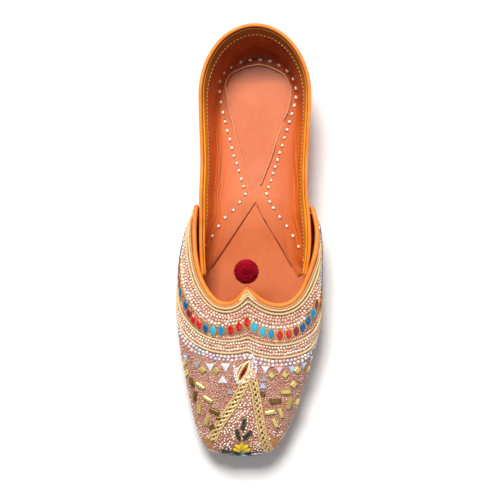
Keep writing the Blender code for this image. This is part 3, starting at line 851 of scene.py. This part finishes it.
cord_lines = [band(d, easing=5) for d in (2.7, 4.7, 22.3, 29.6)]
cord_piece("throat_cords", cord_lines, vamp_skin, 0.72 * MM, 2.2 * MM, GOLD)
cord_piece("throat_edge_cord", [band(1.5, easing=5)], vamp_skin, 0.6 * MM, 1.8 * MM, srgb(222, 172, 120))
peak_cords = []
for shift in (0.0, 1.3):
    beside = band(1.5 + shift, 0.5 * MM, easing=5)
    top = throat[peak]
    near_peak = beside[np.linalg.norm(beside - top, axis=1) < 8.5 * MM]
    climb = np.clip(1.0 - np.abs(near_peak[:, 0] - top[0]) / (6.0 * MM), 0, 1) ** 1.5
    lifted = near_peak + (0.0, 1.7 * MM, 0.75 * MM) * climb[:, None]
    peak_cords.append(soften(lifted, 2))
cord_piece("throat_peak_cords", peak_cords, vamp_skin, 0.62 * MM, 1.8 * MM, GOLD)

rows = []
for distance, size, step, tints in (
    (6.7, 1.7, 1.75, PINK),
    (8.5, 1.7, 1.75, PINK),
    (10.3, 1.7, 1.75, PINK),
    (12.3, 2.0, 2.1, CREAM),
    (13.9, 1.2, 1.3, PINK),
    (20.2, 1.2, 1.3, PINK),
    (24.1, 1.6, 1.65, CREAM),
    (25.9, 1.6, 1.65, PINK),
    (27.7, 1.6, 1.65, CREAM),
    (31.9, 2.1, 2.2, CRYSTAL),
    (34.0, 1.9, 2.5, CRYSTAL),
):
    rows += bead_row(band(distance), step * MM, size * MM, tints)
strew("throat_bead_rows", bead, rows, glass, "rose_cloth")

# %% [markdown]
# ## The stones of the throat band
# A row of marquise stones runs from wing to wing, red in threes and blue in threes. Each stone sits
# in a gold bezel, and its long axis lies along the shoe.

# %% The stones of the throat band
STONE_CHART = [
    (144.7, 252.7, DARK_RED), (144.5, 260, DARK_RED), (145, 267, DARK_RED), (145.8, 273.7, DEEP_BLUE),
    (146.7, 281, DEEP_BLUE), (148.5, 287, DEEP_BLUE), (151, 293, DARK_RED), (153.8, 298, RED),
    (158.1, 301.3, RED), (162.8, 304.2, DEEP_BLUE), (168.3, 305.8, SKY), (174.4, 306, BLUE),
    (181.1, 305.6, RED), (187.1, 303.1, RED), (193.1, 299.8, RED), (198.4, 303.3, SKY),
    (204.5, 306.5, SKY), (210.5, 308.3, BLUE), (217, 309.4, RED), (223.5, 308.5, RED),
    (228.8, 306.3, DARK_RED), (233.5, 303.6, DEEP_BLUE), (237.3, 298.7, DEEP_BLUE),
    (240.7, 293, BLUE), (243.3, 287, DARK_RED), (245.8, 281.3, DARK_RED), (247.4, 274.6, DARK_RED),
    (248.5, 268, TEAL),
]
WING_FROM = 284
stones = []
bezels = []
for across, down, tint in STONE_CHART:
    if down < WING_FROM:
        continue
    place, normal = vamp_skin.seen(across, down)
    if place is None:
        print("stone off the shell:", across, down)
        continue
    bezels.append((frame_at(place, normal, (0, 1, 0)), np.array((5.0, 8.2, 2.2)) * MM, BEZEL_GOLD))
    stones.append((frame_at(place + normal * 0.2 * MM, normal, (0, 1, 0)), np.array((3.6, 6.4, 2.4)) * MM, tint))
stone_line = band(17.0, 5.25 * MM)
first, last = Vector(stones[0][0].translation), Vector(stones[-1][0].translation)
wing_tints = (DEEP_BLUE, DARK_RED)
for end, line, tints in ((first, stone_line, wing_tints), (last, stone_line[::-1], wing_tints[::-1])):
    nearest = int(np.argmin(np.linalg.norm(line - np.array(end), axis=1)))
    for number, place in enumerate(line[:nearest][::-1][:-1]):
        tint = tints[((number + 1) // 3) % 2]
        place, normal = vamp_skin.nearest(Vector(place))
        if (place - end).length < 4 * MM or place.y > 13.5 * MM:
            continue
        bezels.append((frame_at(place, normal, (0, 1, 0)), np.array((5.0, 8.2, 2.2)) * MM, BEZEL_GOLD))
        stones.append((frame_at(place + normal * 0.2 * MM, normal, (0, 1, 0)), np.array((3.6, 6.4, 2.4)) * MM, tint))
strew("throat_stones", marquise, stones, stone, "rose_cloth", smooth=False)
strew("throat_bezels", bezel, bezels, gold, "gold_braid", smooth=False)

# %% [markdown]
# ## Stitches on the insole
# A thick white thread holds the flaps down. It runs as a loop round the heel and as two legs, one
# stitch every five millimetres. A stitch is a short bead of thread. Under each of its ends, where
# the needle went in, a flat dark spot is painted shade of the dimple. The cut edge of the leather
# round the heel is pale, and thin dark cords along the front edges of the legs are painted shadow
# of the flaps' step.


# %% Stitches on the insole
LEFT_LEG = [
    (192, 206), (187.7, 212), (183, 217.9), (177, 223.2), (172.1, 229.5), (167.7, 236.7), (162.5, 243.5),
    (159.5, 252),
]
RIGHT_LEG = [
    (207.4, 205.8), (209.6, 211.6), (212.3, 216.1), (216.8, 222.8), (222.1, 229.5), (226.6, 236.6),
    (230.8, 244.6), (234.9, 254.5),
]
HEEL_LOOP = [
    (190.6, 200.4), (188.8, 195), (187.1, 188.8), (185.5, 183.4), (183.3, 178), (181.9, 172.2),
    (180.4, 166), (178.6, 159.7), (177, 153), (175.3, 146.3), (173.9, 138.8), (172.9, 131),
    (172.9, 123.6), (176.2, 117.3), (181.3, 113.3), (188.4, 109.6), (195.3, 108.1), (202.7, 107.9),
    (209.8, 109), (216.5, 112), (222.3, 116.2), (226.8, 122.2), (228.8, 128.9), (228.8, 135.6),
    (227.7, 141.4), (225.9, 147.5), (224.1, 153.3), (222.3, 159), (220.4, 164.9), (218.9, 170.6),
    (217, 175.8), (215.4, 181), (213.8, 186.1), (212.3, 191), (210.7, 196.1), (208.9, 201),
]
RAW_EDGE = [
    (196.0, 200.7), (192.4, 190.4), (189.4, 179.5), (185.9, 167.5), (184.2, 161.0), (182.1, 151.9),
    (180.3, 144.7), (179.1, 136.2), (177.3, 129.5), (177.0, 124.7), (180.3, 118.3), (185.1, 115.6),
    (191.2, 113.5), (196.0, 112.1), (202.0, 111.2), (207.6, 112.6), (214.2, 115.3), (220.3, 118.6),
    (222.7, 122.9), (225.0, 128.8), (225.1, 133.8), (223.9, 139.8), (222.7, 145.9), (219.7, 152.6),
    (217.3, 159.2), (214.4, 167.5), (210.0, 181.4), (206.3, 191.1), (202.9, 199.5),
]


class Inside(Skin):
    """The floor of the shoe: the flaps, the insole and the bend of the lining together."""

    def seen(self, across, down):
        place, normal = Skin.seen(self, across, down)
        return (place, normal) if place else self.near(across, down, 10 * MM)

    def __init__(self, pieces):
        points, faces = [], []
        for obj in pieces:
            faces += [tuple(v + len(points) for v in p.vertices) for p in obj.data.polygons]
            points += [tuple(p) for p in points_of(obj)]
        self.tree = BVHTree.FromPolygons(points, faces)


floor_skin = Inside([flap_piece, insole_piece, turn_piece])
cotton = Look("cotton thread", Roughness=0.7, Specular_IOR_Level=0.3)
twist = cotton.noise(1800, 2, (1.0, 0.3, 1.0))
cotton.surface(Base_Color=cotton.mix(twist.above(0.5, 0.4), cotton.attribute("tint"), srgb(198, 170, 140)))
cotton.bump(twist, 0.00012)
painted_shade = Look("painted hole and edge shade", Roughness=0.8)
painted_shade.surface(Base_Color=painted_shade.mix(painted_shade.noise(600), srgb(140, 52, 18), srgb(104, 34, 10)))
stitches, holes = [], []
for chart in (LEFT_LEG, RIGHT_LEG, HEEL_LOOP):
    spots = [floor_skin.seen(x, y) for x, y in chart]
    for number, (place, normal) in enumerate(spots):
        before = spots[max(number - 1, 0)][0]
        after = spots[min(number + 1, len(spots) - 1)][0]
        way = (after - before).normalized()
        grown = float(random.uniform(0.9, 1.12))
        stitches.append((
            frame_at(place + Vector((0, 0, 0.6)) * MM, normal + Vector((0, 0, 2.0)), way + Vector(random.normal(0, 0.12, 3))),
            np.array((1.8, 2.3 * grown, 1.5)) * MM, srgb(255, 248, 232),
        ))
        # painted shade: a flat dark spot under each end of a stitch stands for the shade in the needle's dimple
        for end in (-1, 1):
            spot = place + way * end * 1.15 * MM * grown
            holes.append((frame_at(spot, normal, way), np.array((1.2, 1.0, 0.35)) * MM, (0.1, 0.1, 0.1)))
strew("insole_stitches", bead, stitches, cotton, "insole_leather")
strew("insole_needle_hole_shades", bead, holes, painted_shade, "insole_leather")

edge_line = np.array([tuple(floor_skin.seen(x, y)[0]) for x, y in RAW_EDGE])
edge_line = even(edge_line, 0.8 * MM)
edge_line[:, :2] += random.normal(0, 0.12 * MM, (len(edge_line), 2))
AROUND = [Vector((x, y, 0)) * MM for x in (-1.2, 0, 1.2) for y in (-1.2, 0, 1.2)]
edge_line[:, 2] = [max(floor_at(Vector(p) + off) for off in AROUND) for p in edge_line]
edge_line = soften(edge_line, 2)
curve = bpy.data.curves.new("raw edge", "CURVE")
curve.dimensions = "3D"
curve.bevel_depth = 0.5 * MM
curve.bevel_resolution = 1
curve.use_fill_caps = True
spline = curve.splines.new("POLY")
spline.points.add(len(edge_line) - 1)
spline.points.foreach_set("co", np.column_stack([edge_line, np.ones(len(edge_line))]).reshape(-1))
edge_piece = bpy.data.objects.new("flap_raw_edge", curve)
bpy.context.scene.collection.objects.link(edge_piece)
only(edge_piece)
bpy.ops.object.convert(target="MESH")
edge_piece = bpy.context.active_object
edge_piece.name = "flap_raw_edge"
bpy.ops.object.shade_smooth()
# painted shadow: thin dark cords along the front edges of the flap legs stand for the shadow under the flaps' step
LEG_EDGES = [
    [(199.4, 212), (194.8, 218.9), (183.9, 235.9), (176.1, 248), (167.6, 260)],
    [(200.3, 214.7), (206.3, 225.6), (215.4, 241.3), (225.7, 259.5)],
]
curve = bpy.data.curves.new("edge shadow line", "CURVE")
curve.dimensions = "3D"
curve.bevel_depth = 0.3 * MM
curve.bevel_resolution = 1
curve.use_fill_caps = True
for chart in LEG_EDGES:
    line = even([tuple(floor_skin.seen(x, y)[0]) for x, y in chart], 0.8 * MM)
    line = np.array([tuple(floor_skin.nearest(Vector(p))[0]) for p in line])
    spline = curve.splines.new("POLY")
    spline.points.add(len(line) - 1)
    spline.points.foreach_set("co", np.column_stack([line, np.ones(len(line))]).reshape(-1))
edge_shadow_piece = bpy.data.objects.new("flap_edge_shadows", curve)
bpy.context.scene.collection.objects.link(edge_shadow_piece)
only(edge_shadow_piece)
bpy.ops.object.convert(target="MESH")
edge_shadow_piece = bpy.context.active_object
edge_shadow_piece.name = "flap_edge_shadows"
bpy.ops.object.shade_smooth()
dress(edge_shadow_piece, painted_shade, "flap_leather")
raw = leather("raw leather edge", srgb(240, 172, 128), srgb(216, 138, 96), 0.7, grain=0.0002)
dress(edge_piece, raw, "flap_leather")

# %% [markdown]
# ## Mirrors and gold pieces
# Below the bands the shell carries mirror triangles, gold squares set as diamonds and gold
# baguettes laid every way.

# %% Mirrors and gold pieces
# painted reflections: the blue, pink and grey tints of single mirrors stand for what each mirror reflects
WHITE_GLASS = (0.95, 0.96, 1.0)
BLUE_REFLECTION = srgb(190, 214, 246)
PINK_REFLECTION = srgb(250, 206, 216)
GREY_REFLECTION = srgb(188, 184, 182)
MIRROR_CHART = [
    (166.1, 332.3, -90, 6.2, WHITE_GLASS), (177.3, 332.3, -90, 6.6, WHITE_GLASS),
    (156.4, 330.8, -90, 5.6, GREY_REFLECTION), (206.4, 333.9, -90, 5.8, WHITE_GLASS),
    (216.6, 334.4, -90, 5.4, PINK_REFLECTION), (225.8, 333.9, -90, 5.4, BLUE_REFLECTION),
    (234.0, 330.8, -90, 5.4, BLUE_REFLECTION), (175.3, 342.6, 90, 6.4, WHITE_GLASS),
    (180.4, 351.2, 90, 4.8, GREY_REFLECTION), (205.4, 341.6, 90, 5.0, GREY_REFLECTION),
    (204.6, 346.8, 90, 5.0, BLUE_REFLECTION), (148.6, 325.6, -90, 4.8, BLUE_REFLECTION),
    (239.2, 325.8, -90, 4.8, BLUE_REFLECTION),
]
SQUARE_CHART = [
    (160.5, 334.9), (170.7, 335.4), (211, 338.5), (220.7, 338), (229.4, 334.4), (226.8, 344.9),
    (149.2, 336.9), (147.8, 329.4), (236.8, 333.4),
]
BAR_CHART = [
    (152.9, 344.1, -71, 5.6, OLIVE), (158.9, 346.4, -31, 6.0, YELLOW_GOLD), (155.4, 354.1, 65, 6.0, OLIVE),
    (164.6, 356.3, -27, 6.0, YELLOW_GOLD), (158.5, 363.0, 75, 6.0, YELLOW_GOLD), (169.2, 365.0, -22, 6.0, OLIVE),
    (164.1, 371.6, 70, 6.4, YELLOW_GOLD), (172.2, 370.1, 0, 2.2, OLIVE), (167.7, 376.7, 27, 3.4, OLIVE),
    (221.2, 350.5, -3, 6.0, YELLOW_GOLD), (213.6, 357.3, 0, 6.6, OLIVE), (223.3, 358.9, 85, 6.0, YELLOW_GOLD),
    (228.9, 357.4, 60, 3.6, YELLOW_GOLD), (209.5, 365.5, 8, 5.8, YELLOW_GOLD), (217.1, 366.0, -69, 6.2, YELLOW_GOLD),
    (213.1, 373.2, -63, 6.4, YELLOW_GOLD), (204.4, 351.9, -20, 2.8, OLIVE),
]


def charted(across, down, angle, skin=vamp_skin, lift=0.0):
    """A frame on the skin under a chart place, turned by an angle from the picture's right."""
    place, normal = skin.seen(across, down)
    way = (math.cos(math.radians(angle)), math.sin(math.radians(angle)), 0.0)
    return frame_at(place + normal * lift, normal, way)


mirrors = [(charted(x, y, angle), np.array((size, size, 3.0)) * MM, tint) for x, y, angle, size, tint in MIRROR_CHART]
strew("mirror_triangles", triangle, mirrors, mirror, "gold_braid", smooth=False)
squares = [(charted(x, y, 0), np.array((4.6, 4.6, 3.6)) * MM, YELLOW_GOLD) for x, y in SQUARE_CHART]
strew("gold_squares", square, squares, gold, "gold_braid", smooth=False)
bars = []
for x, y, angle, length, tint in BAR_CHART:
    bars.append((charted(x, y, angle), np.array((2.1, length, 3.0)) * MM, tint))
bar = plate_model(4, 0.5, 0.12, 0.1)
bar_points = bar[0] @ np.array(Matrix.Rotation(math.radians(45), 3, "Z")).T * (1.414, 1.414, 1.0)
bar = (bar_points, bar[1])
strew("gold_baguettes", bar, bars, gold, "gold_braid", smooth=False)

# %% [markdown]
# ## The braids of the toe
# Two flat braids of pale zari run from the leaf slit to the toe corners. Two thick strands cross
# each other again and again between two straight border cords. Each eye that they leave holds
# a dark bead. The strands are curves whose paths swing from side to side and pass over and under.


# %% The braids of the toe
def line_on(skin, chart, step=0.8, easing=6):
    line = [tuple(skin.seen(x, y)[0]) for x, y in chart]
    return soften(even(line, step * MM), easing)


LEFT_BRAID = [(193.4, 340), (188.5, 350), (183, 360), (177.5, 368), (172, 376), (167.6, 386)]
RIGHT_BRAID = [(195.5, 335), (197.4, 342), (199, 350), (201.8, 367), (204.7, 384.6), (208.7, 393)]
braid_lines = [line_on(vamp_skin, LEFT_BRAID), line_on(vamp_skin, RIGHT_BRAID)]
EYE_LENGTH = 3.4 * MM
curve = bpy.data.curves.new("braid", "CURVE")
curve.dimensions = "3D"
curve.bevel_depth = 0.62 * MM
curve.bevel_resolution = 1
curve.use_fill_caps = True
eyes = []
for line in braid_lines:
    line = even(line, EYE_LENGTH / 12)
    normals = unit(soften(skin_normals(line, vamp_skin), 12))
    ways = unit(np.gradient(line, axis=0))
    sides = unit(np.cross(ways, normals))
    swing = (np.arange(len(line)) / 12 * math.pi)[:, None]
    for sign in (-1, 1):
        strand = line + sides * np.sin(swing) * sign * 1.25 * MM
        strand = strand + normals * (0.75 + 0.35 * sign * np.cos(swing)) * MM
        border = line + sides * sign * 2.15 * MM + normals * 0.6 * MM
        for path in (strand, border):
            spline = curve.splines.new("POLY")
            spline.points.add(len(path) - 1)
            spline.points.foreach_set("co", np.column_stack([path, np.ones(len(path))]).reshape(-1))
    for number in range(6, len(line), 12):
        tint = ramp_tint([srgb(62, 54, 24), srgb(96, 80, 30), srgb(40, 40, 30)])
        spot = Vector(line[number] + normals[number] * 0.7 * MM)
        eyes.append((frame_at(spot, normals[number], ways[number]), np.array((1.1, 2.0, 1.1)) * MM, tint))
braid_piece = bpy.data.objects.new("toe_braids", curve)
bpy.context.scene.collection.objects.link(braid_piece)
only(braid_piece)
bpy.ops.object.convert(target="MESH")
braid_piece = bpy.context.active_object
braid_piece.name = "toe_braids"
bpy.ops.object.shade_smooth()
braid = Look("gold braid", Metallic=0.35, Roughness=0.45)
threads = braid.noise(1500, 3, (1.0, 0.25, 1.0))
braid.surface(Base_Color=braid.mix(threads.above(0.5, 0.3), srgb(214, 170, 104), srgb(250, 226, 174)))
braid.bump(threads, 0.00015)
dress(braid_piece, braid, "gold_braid", "toe_trim")
strew("toe_braid_beads", bead, eyes, glass, "gold_braid")

# %% [markdown]
# ## The leaf slit
# The slit below the peak is bound by a pale cord, laid round it as a leaf.

# %% The leaf slit
SLIT_TOP, SLIT_FOOT, SLIT_HALF = (194.8, 328.2), (186.2, 345.0), 2.5


def leaf(top, foot, half, count=28):
    """Chart places round a leaf between two tips."""
    top, foot = np.array(top), np.array(foot)
    way = (foot - top) / np.linalg.norm(foot - top)
    side = np.array((way[1], -way[0]))
    shares = np.linspace(0, 1, count)
    bulge = half * np.sin(shares * math.pi) ** 0.8
    one = top + np.outer(shares, foot - top) + bulge[:, None] * side
    other = top + np.outer(shares, foot - top) - bulge[:, None] * side
    return np.concatenate([one, other[::-1]])




def seen_at(across, down, height):
    """The point at a height that is seen at a chart place."""
    ray = Vector(((across - 250) * CHART_STEP, (240 - down) * CHART_STEP, -EYE.z))
    return EYE + ray * ((EYE.z - height) / EYE.z)


slit_line = []
for across, down in leaf(SLIT_TOP, SLIT_FOOT, SLIT_HALF):
    rim = vamp_skin.near(across, down, 40 * MM)[0]
    slit_line.append(tuple(seen_at(across, down, rim.z)))
rim_line = [tuple(vamp_skin.near(x, y, 40 * MM)[0]) for x, y in leaf(SLIT_TOP, SLIT_FOOT, 3.5)]
slit_lines = [soften(even(line, 0.6 * MM), 1) for line in (slit_line, rim_line)]
cord_piece("slit_cord", slit_lines, vamp_skin, 0.72 * MM, 2.0 * MM, PALE_GOLD)
turned_edge = []
for (across, down), place in zip(leaf((194.2, 330.0), (186.9, 343.4), 1.5), slit_line):
    turned_edge.append(tuple(seen_at(across, down, place[2] - 0.7 * MM)))
cord_piece("slit_turned_edge", [even(turned_edge, 0.6 * MM)], vamp_skin, 0.8 * MM, 6.0 * MM, srgb(196, 96, 44), plies=2)

# %% [markdown]
# ## The crystals round the leaf
# Small crystals of white, blue and pink glass crowd round the leaf, and dark bugles and a fan of
# yellow leaves fill the tip of the toe.

# %% The crystals round the leaf
crystals = []
for half, tip in ((5.4, 3.0), (8.0, 5.0)):
    top = (SLIT_TOP[0] + tip * 0.45, SLIT_TOP[1] - tip * 0.9)
    for across, down in leaf(top, SLIT_FOOT, half, 15)[:-8]:
        across += float(random.normal(0, 0.35))
        place, normal = vamp_skin.near(across, down, 40 * MM)
        size = float(random.uniform(1.7, 2.3)) * MM
        crystals.append((frame_at(place + normal * 0.2 * size, normal, random.normal(size=3)), size, ramp_tint(CRYSTAL)))
strew("leaf_crystals", bead, crystals, glass, "rose_cloth")

BUGLE_CHART = [
    (190.6, 374.5, 78, 6.6), (186.2, 381.8, -74, 6.0), (193.4, 382.4, 45, 6.4), (177.0, 394.2, 4, 4.2),
    (182.5, 395.2, -4, 4.2), (196.0, 395.6, 4, 4.2), (201.0, 395.2, -2, 4.2),
]
bugles = []
for x, y, angle, length in BUGLE_CHART:
    bugles.append((charted(x, y, angle), np.array((2.0, length, 3.2)) * MM, BUGLE))
bugles.append((charted(186.8, 396.0, 0), np.array((1.6, 3.2, 3.0)) * MM, TEAL))
bugles.append((charted(192.2, 396.2, 0), np.array((1.6, 3.2, 3.0)) * MM, SKY))
strew("toe_bugles", bar, bugles, stone, "rose_cloth", smooth=False)
petals = []
for angle, length in ((90, 6.4), (132, 5.4), (48, 5.4), (168, 5.0), (12, 5.0)):
    x = 189.2 + 3.4 * math.cos(math.radians(angle))
    y = 393.2 - 3.0 * math.sin(math.radians(angle))
    petals.append((charted(x, y, angle, lift=0.3 * MM), np.array((2.6, length, 3.4)) * MM, srgb(226, 196, 24)))
strew("toe_leaf_fan", marquise, petals, stone, "rose_cloth", smooth=False)

# %% [markdown]
# ## The bead ground
# The cloth between the larger pieces is strewn with seed beads: fine and rosy in the open, larger
# and paler towards the edge and between the two braids. Places are drawn by area over the shell,
# and one is kept only if it clears the beads before it and every larger piece.


# %% The bead ground
def chart_of(place):
    """Where a point of the shoe is on the chart."""
    ray = Vector(place) - EYE
    floor = EYE + ray * (EYE.z / -ray.z)
    return (floor.x - EYE.x) / CHART_STEP + 250, 240 - (floor.y - EYE.y) / CHART_STEP


def in_shape(x, y, shape):
    odd = False
    for (x0, y0), (x1, y1) in zip(shape, shape[1:] + shape[:1]):
        if (y0 > y) != (y1 > y) and x < x0 + (y - y0) * (x1 - x0) / (y1 - y0):
            odd = not odd
    return odd


sole_tree = tree_of(sole_piece)


def sole_level(y):
    y = min(max(y, -119 * MM), 100 * MM)
    hit = sole_tree.ray_cast(Vector((1 * MM, y, 30 * MM)), Vector((0, 0, -1)))[0]
    return hit.z if hit else 5 * MM


class Grid:
    """Places already taken, in cells of the size of the widest gap."""

    def __init__(self, cell):
        self.cell = cell
        self.taken = {}

    def key(self, place):
        return tuple(int(math.floor(v / self.cell)) for v in place)

    def add(self, place, radius):
        self.taken.setdefault(self.key(place), []).append((np.array(place), radius))

    def clear(self, place, radius):
        home = self.key(place)
        for i in (-1, 0, 1):
            for j in (-1, 0, 1):
                for k in (-1, 0, 1):
                    for other, reach in self.taken.get((home[0] + i, home[1] + j, home[2] + k), ()):
                        if np.linalg.norm(other - place) < radius + reach:
                            return False
        return True


taken = Grid(4.2 * MM)
for matrix, size, _ in mirrors:
    taken.add(matrix.translation, size[0] * 0.36)
for matrix, size, _ in squares:
    taken.add(matrix.translation, size[0] * 0.42)
for matrix, size, _ in bars + bugles + petals:
    way = matrix.to_3x3() @ Vector((0, 1, 0))
    for share in (-0.35, -0.12, 0.12, 0.35):
        taken.add(matrix.translation + way * size[1] * share, size[0] * 0.55)
for line in braid_lines:
    for place in even(line, 1.5 * MM):
        taken.add(place, 2.4 * MM)
for matrix, size, _ in crystals:
    taken.add(matrix.translation, size * 0.45)
for place in slit_line:
    taken.add(place, 0.9 * MM)
for share in np.linspace(0.1, 0.9, 7):
    middle = np.array(SLIT_TOP) * (1 - share) + np.array(SLIT_FOOT) * share
    taken.add(vamp_skin.near(middle[0], middle[1], 40 * MM)[0], 1.9 * MM)

corners = [tuple(p.vertices) for p, keep in zip(vamp_piece.data.polygons, outside) if keep]
areas = np.array([p.area for p, keep in zip(vamp_piece.data.polygons, outside) if keep])
shell_points = points_of(vamp_piece)
sector = LEFT_BRAID + [(188, 399)] + RIGHT_BRAID[::-1]
chosen = random.choice(len(corners), 26000, p=areas / areas.sum())
throat_tree = BVHTree.FromPolygons([tuple(p) for p in throat], [(i, i + 1, i) for i in range(len(throat) - 1)])
TAN_CORNERS = [vamp_skin.seen(163.0, 389.4)[0], vamp_skin.seen(212.8, 388.8)[0]]
ground_beads = []
for number in chosen:
    face = corners[number]
    u, v = random.random(2)
    a, b, c, d = (shell_points[face[k % len(face)]] for k in range(4))
    place = a * (1 - u) * (1 - v) + b * u * (1 - v) + c * u * v + d * (1 - u) * v
    if np.min(np.linalg.norm(throat - place, axis=1)) < 34.0 * MM:
        continue
    if any(((Vector(place) - corner) * Vector((1, 1, CORNER_DROP))).length < 4.5 * MM for corner in TAN_CORNERS):
        continue
    x, y = chart_of(place)
    height = place[2] - sole_level(place[1])
    if height < 2.6 * MM:
        continue
    if in_shape(x, y, sector):
        size, tints, gap = 1.5, PINK + CREAM, 0.92
    elif height < 13 * MM or y > 380:
        size, tints, gap = 1.4, PINK + CREAM[:1] + [srgb(214, 170, 110)], 1.0
    else:
        size, tints, gap = 1.0, [srgb(214, 158, 140), srgb(198, 138, 122), srgb(232, 186, 166)], 1.15
    if not taken.clear(place, size * gap / 2 * MM):
        continue
    taken.add(place, size * gap / 2 * MM)
    place, normal = vamp_skin.nearest(Vector(place))
    grown = size * float(random.uniform(0.88, 1.08)) * MM
    ground_beads.append((frame_at(place + normal * 0.12 * grown, normal, random.normal(size=3)), grown, ramp_tint(tints)))
strew("ground_beads", small_bead, ground_beads, glass, "rose_cloth")

# %% [markdown]
# ## The edge beads
# A row of beads hides the seam between the shell and the sole, from one wing round the toe to the
# other. A level ray from outside finds the shell at each step of the way round.

# %% The edge beads
around = [((1.0, y), 180.0) for y in np.arange(16, -90, -1.6)]
around += [((1.0, -90.0), angle) for angle in np.arange(180, 360.1, 2.0)]
around += [((1.0, y), 0.0) for y in np.arange(-88.4, 16, 1.6)]
for row, (rise, size, tints) in enumerate(((1.5, 1.7, CREAM[:2] + PINK[:1]), (3.0, 1.3, [GOLD, PALE_GOLD]))):
    line = []
    for (x, y), angle in around:
        way = Vector((math.cos(math.radians(angle)), math.sin(math.radians(angle)), 0.0))
        start = Vector((x, y, 0)) * MM + way * 80 * MM
        level = sole_level(y * MM + way.y * 25 * MM) + rise * MM
        hit = vamp_skin.tree.ray_cast(Vector((start.x, start.y, level)), -way)[0]
        if hit:
            line.append(tuple(hit))
    places = bead_row(soften(even(line, 1.5 * MM), 2), size * 1.02 * MM, size * MM, tints, wobble=0.03)
    strew(f"edge_beads_{row + 1}", bead, places, glass, "rose_cloth")

# %% [markdown]
# ## Stitches on the tape
# The mustard tape is sewn down along its lower edge with fine golden stitches.

# %% Stitches on the tape
tape_line = []
for station in stations:
    hit = wall_at(station, tape_foot(station) + 0.9 * MM, facing_tree)
    if hit:
        tape_line.append(tuple(hit))
tape_line = soften(even(tape_line, 1.2 * MM), 2)
tape_skin = Skin(facing_piece)
seam = []
spots = even(tape_line, 2.3 * MM)
for place, way in zip(spots, np.gradient(spots, axis=0)):
    place, normal = tape_skin.nearest(Vector(place))
    seam.append((frame_at(place + normal * 0.1 * MM, normal, way), np.array((0.7, 1.6, 0.6)) * MM, srgb(206, 146, 58)))
strew("tape_stitches", small_bead, seam, cotton, "facing_leather")

# %% [markdown]
# ## The pompom
# The pompom is wool yarn tied in the middle and clipped to a ball. A ball is its heart, coloured
# dark as painted shade deep among the strands, and thousands of tapered strands stand out from it.

# %% The pompom
wool = Look("crimson wool", Roughness=0.85, Specular_IOR_Level=0.15)
wool.surface(Base_Color=wool.attribute("tint"))
low, high = (Vector(p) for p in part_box("pompom"))
heart = (low + high) / 2
spread = (high - low) / 2
bpy.ops.mesh.primitive_cone_add(vertices=3, radius1=0.03, radius2=0.012, depth=1.0, location=(0, 0, 0.5))
strand_model = take_mesh(bpy.context.active_object)
tufts = []
for number in range(4200):
    up_way = random.normal(size=3)
    up_way = Vector(up_way / np.linalg.norm(up_way))
    lean = Vector(random.normal(0, 0.3, 3))
    reach = float(random.uniform(0.42, 0.52))
    shade = float(random.uniform(0.35, 1.0))
    root = heart + Vector([up_way[k] * spread[k] * (0.97 - reach) for k in range(3)])
    size = np.array((spread.x * 1.15, spread.x * 1.15, spread.x * reach * float(random.uniform(0.84, 1.07))))
    tufts.append((frame_at(root, up_way + lean, random.normal(size=3)), size, tuple(np.array(srgb(198, 6, 40)) * shade)))
bpy.ops.mesh.primitive_ico_sphere_add(subdivisions=3, radius=0.5)
heart_model = take_mesh(bpy.context.active_object)
# painted shade: the heart is coloured far darker than the wool, for the shade deep inside the pompom
strew("pompom_heart", heart_model, [(Matrix.Translation(heart), np.array(spread) * 1.5, srgb(70, 4, 16))], wool, "crimson_wool")
pompom_piece = strew("pompom_wool", strand_model, tufts, wool, "crimson_wool")
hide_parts("pompom")

# %% [markdown]
# ## Floor, light and camera
# The shoe is seen from above, as in a catalogue. A large soft light stands behind the heel on the
# inner side and a weaker one fills the other side, so the shadow falls softly to the outer side.

# %% Floor, light and camera
bpy.ops.mesh.primitive_plane_add(size=6.0, location=(0, 0, 0))
floor_piece = bpy.context.active_object
floor_piece.name = "studio_floor"
paper = Look("studio paper", Roughness=0.8, Specular_IOR_Level=0.2)
paper.surface(Base_Color=paper.mix(paper.noise(3, 2) * 0.2, (0.86, 0.86, 0.86), (0.8, 0.8, 0.8)))
floor_piece.data.materials.append(paper.material)


def soft_light(name, place, target, size, power, colour):
    lamp = bpy.data.lights.new(name, "AREA")
    lamp.shape = "SQUARE"
    lamp.size = size
    lamp.energy = power
    lamp.color = colour
    obj = bpy.data.objects.new(name, lamp)
    bpy.context.scene.collection.objects.link(obj)
    obj.location = place
    obj.rotation_euler = (Vector(target) - Vector(place)).to_track_quat("-Z", "Y").to_euler()


soft_light("key", (-0.1, 0.64, 1.15), (0, 0, 0), 0.42, 24, (1.0, 0.98, 0.95))
soft_light("fill", (0.5, -0.6, 1.0), (0, 0, 0), 1.0, 2.2, (0.95, 0.97, 1.0))
world = bpy.data.worlds.new("studio air")
world.use_nodes = True
world.node_tree.nodes["Background"].inputs["Color"].default_value = (0.95, 0.97, 1.0, 1.0)
world.node_tree.nodes["Background"].inputs["Strength"].default_value = 0.23
bpy.context.scene.world = world
bpy.context.scene.view_settings.view_transform = "Standard"

SHOE_CENTRE = Vector((0.5, -4.0, 18.0)) * MM
SEEN_HEIGHT = 296 * MM
camera = bpy.data.cameras.new("camera")
camera_piece = bpy.data.objects.new("camera", camera)
bpy.context.scene.collection.objects.link(camera_piece)
ahead = (SHOE_CENTRE - EYE).normalized()
up = (Vector((0, 1, 0)) - ahead * ahead.y).normalized()
turn = Matrix((ahead.cross(up), up, -ahead)).transposed()
camera_piece.matrix_world = Matrix.Translation(EYE) @ turn.to_4x4()
camera.sensor_width = 36.0
camera.lens = 36.0 * (SHOE_CENTRE - EYE).length / SEEN_HEIGHT
camera.clip_start = 0.01
bpy.context.scene.camera = camera_piece
print("lens:", round(camera.lens, 1), "mm")
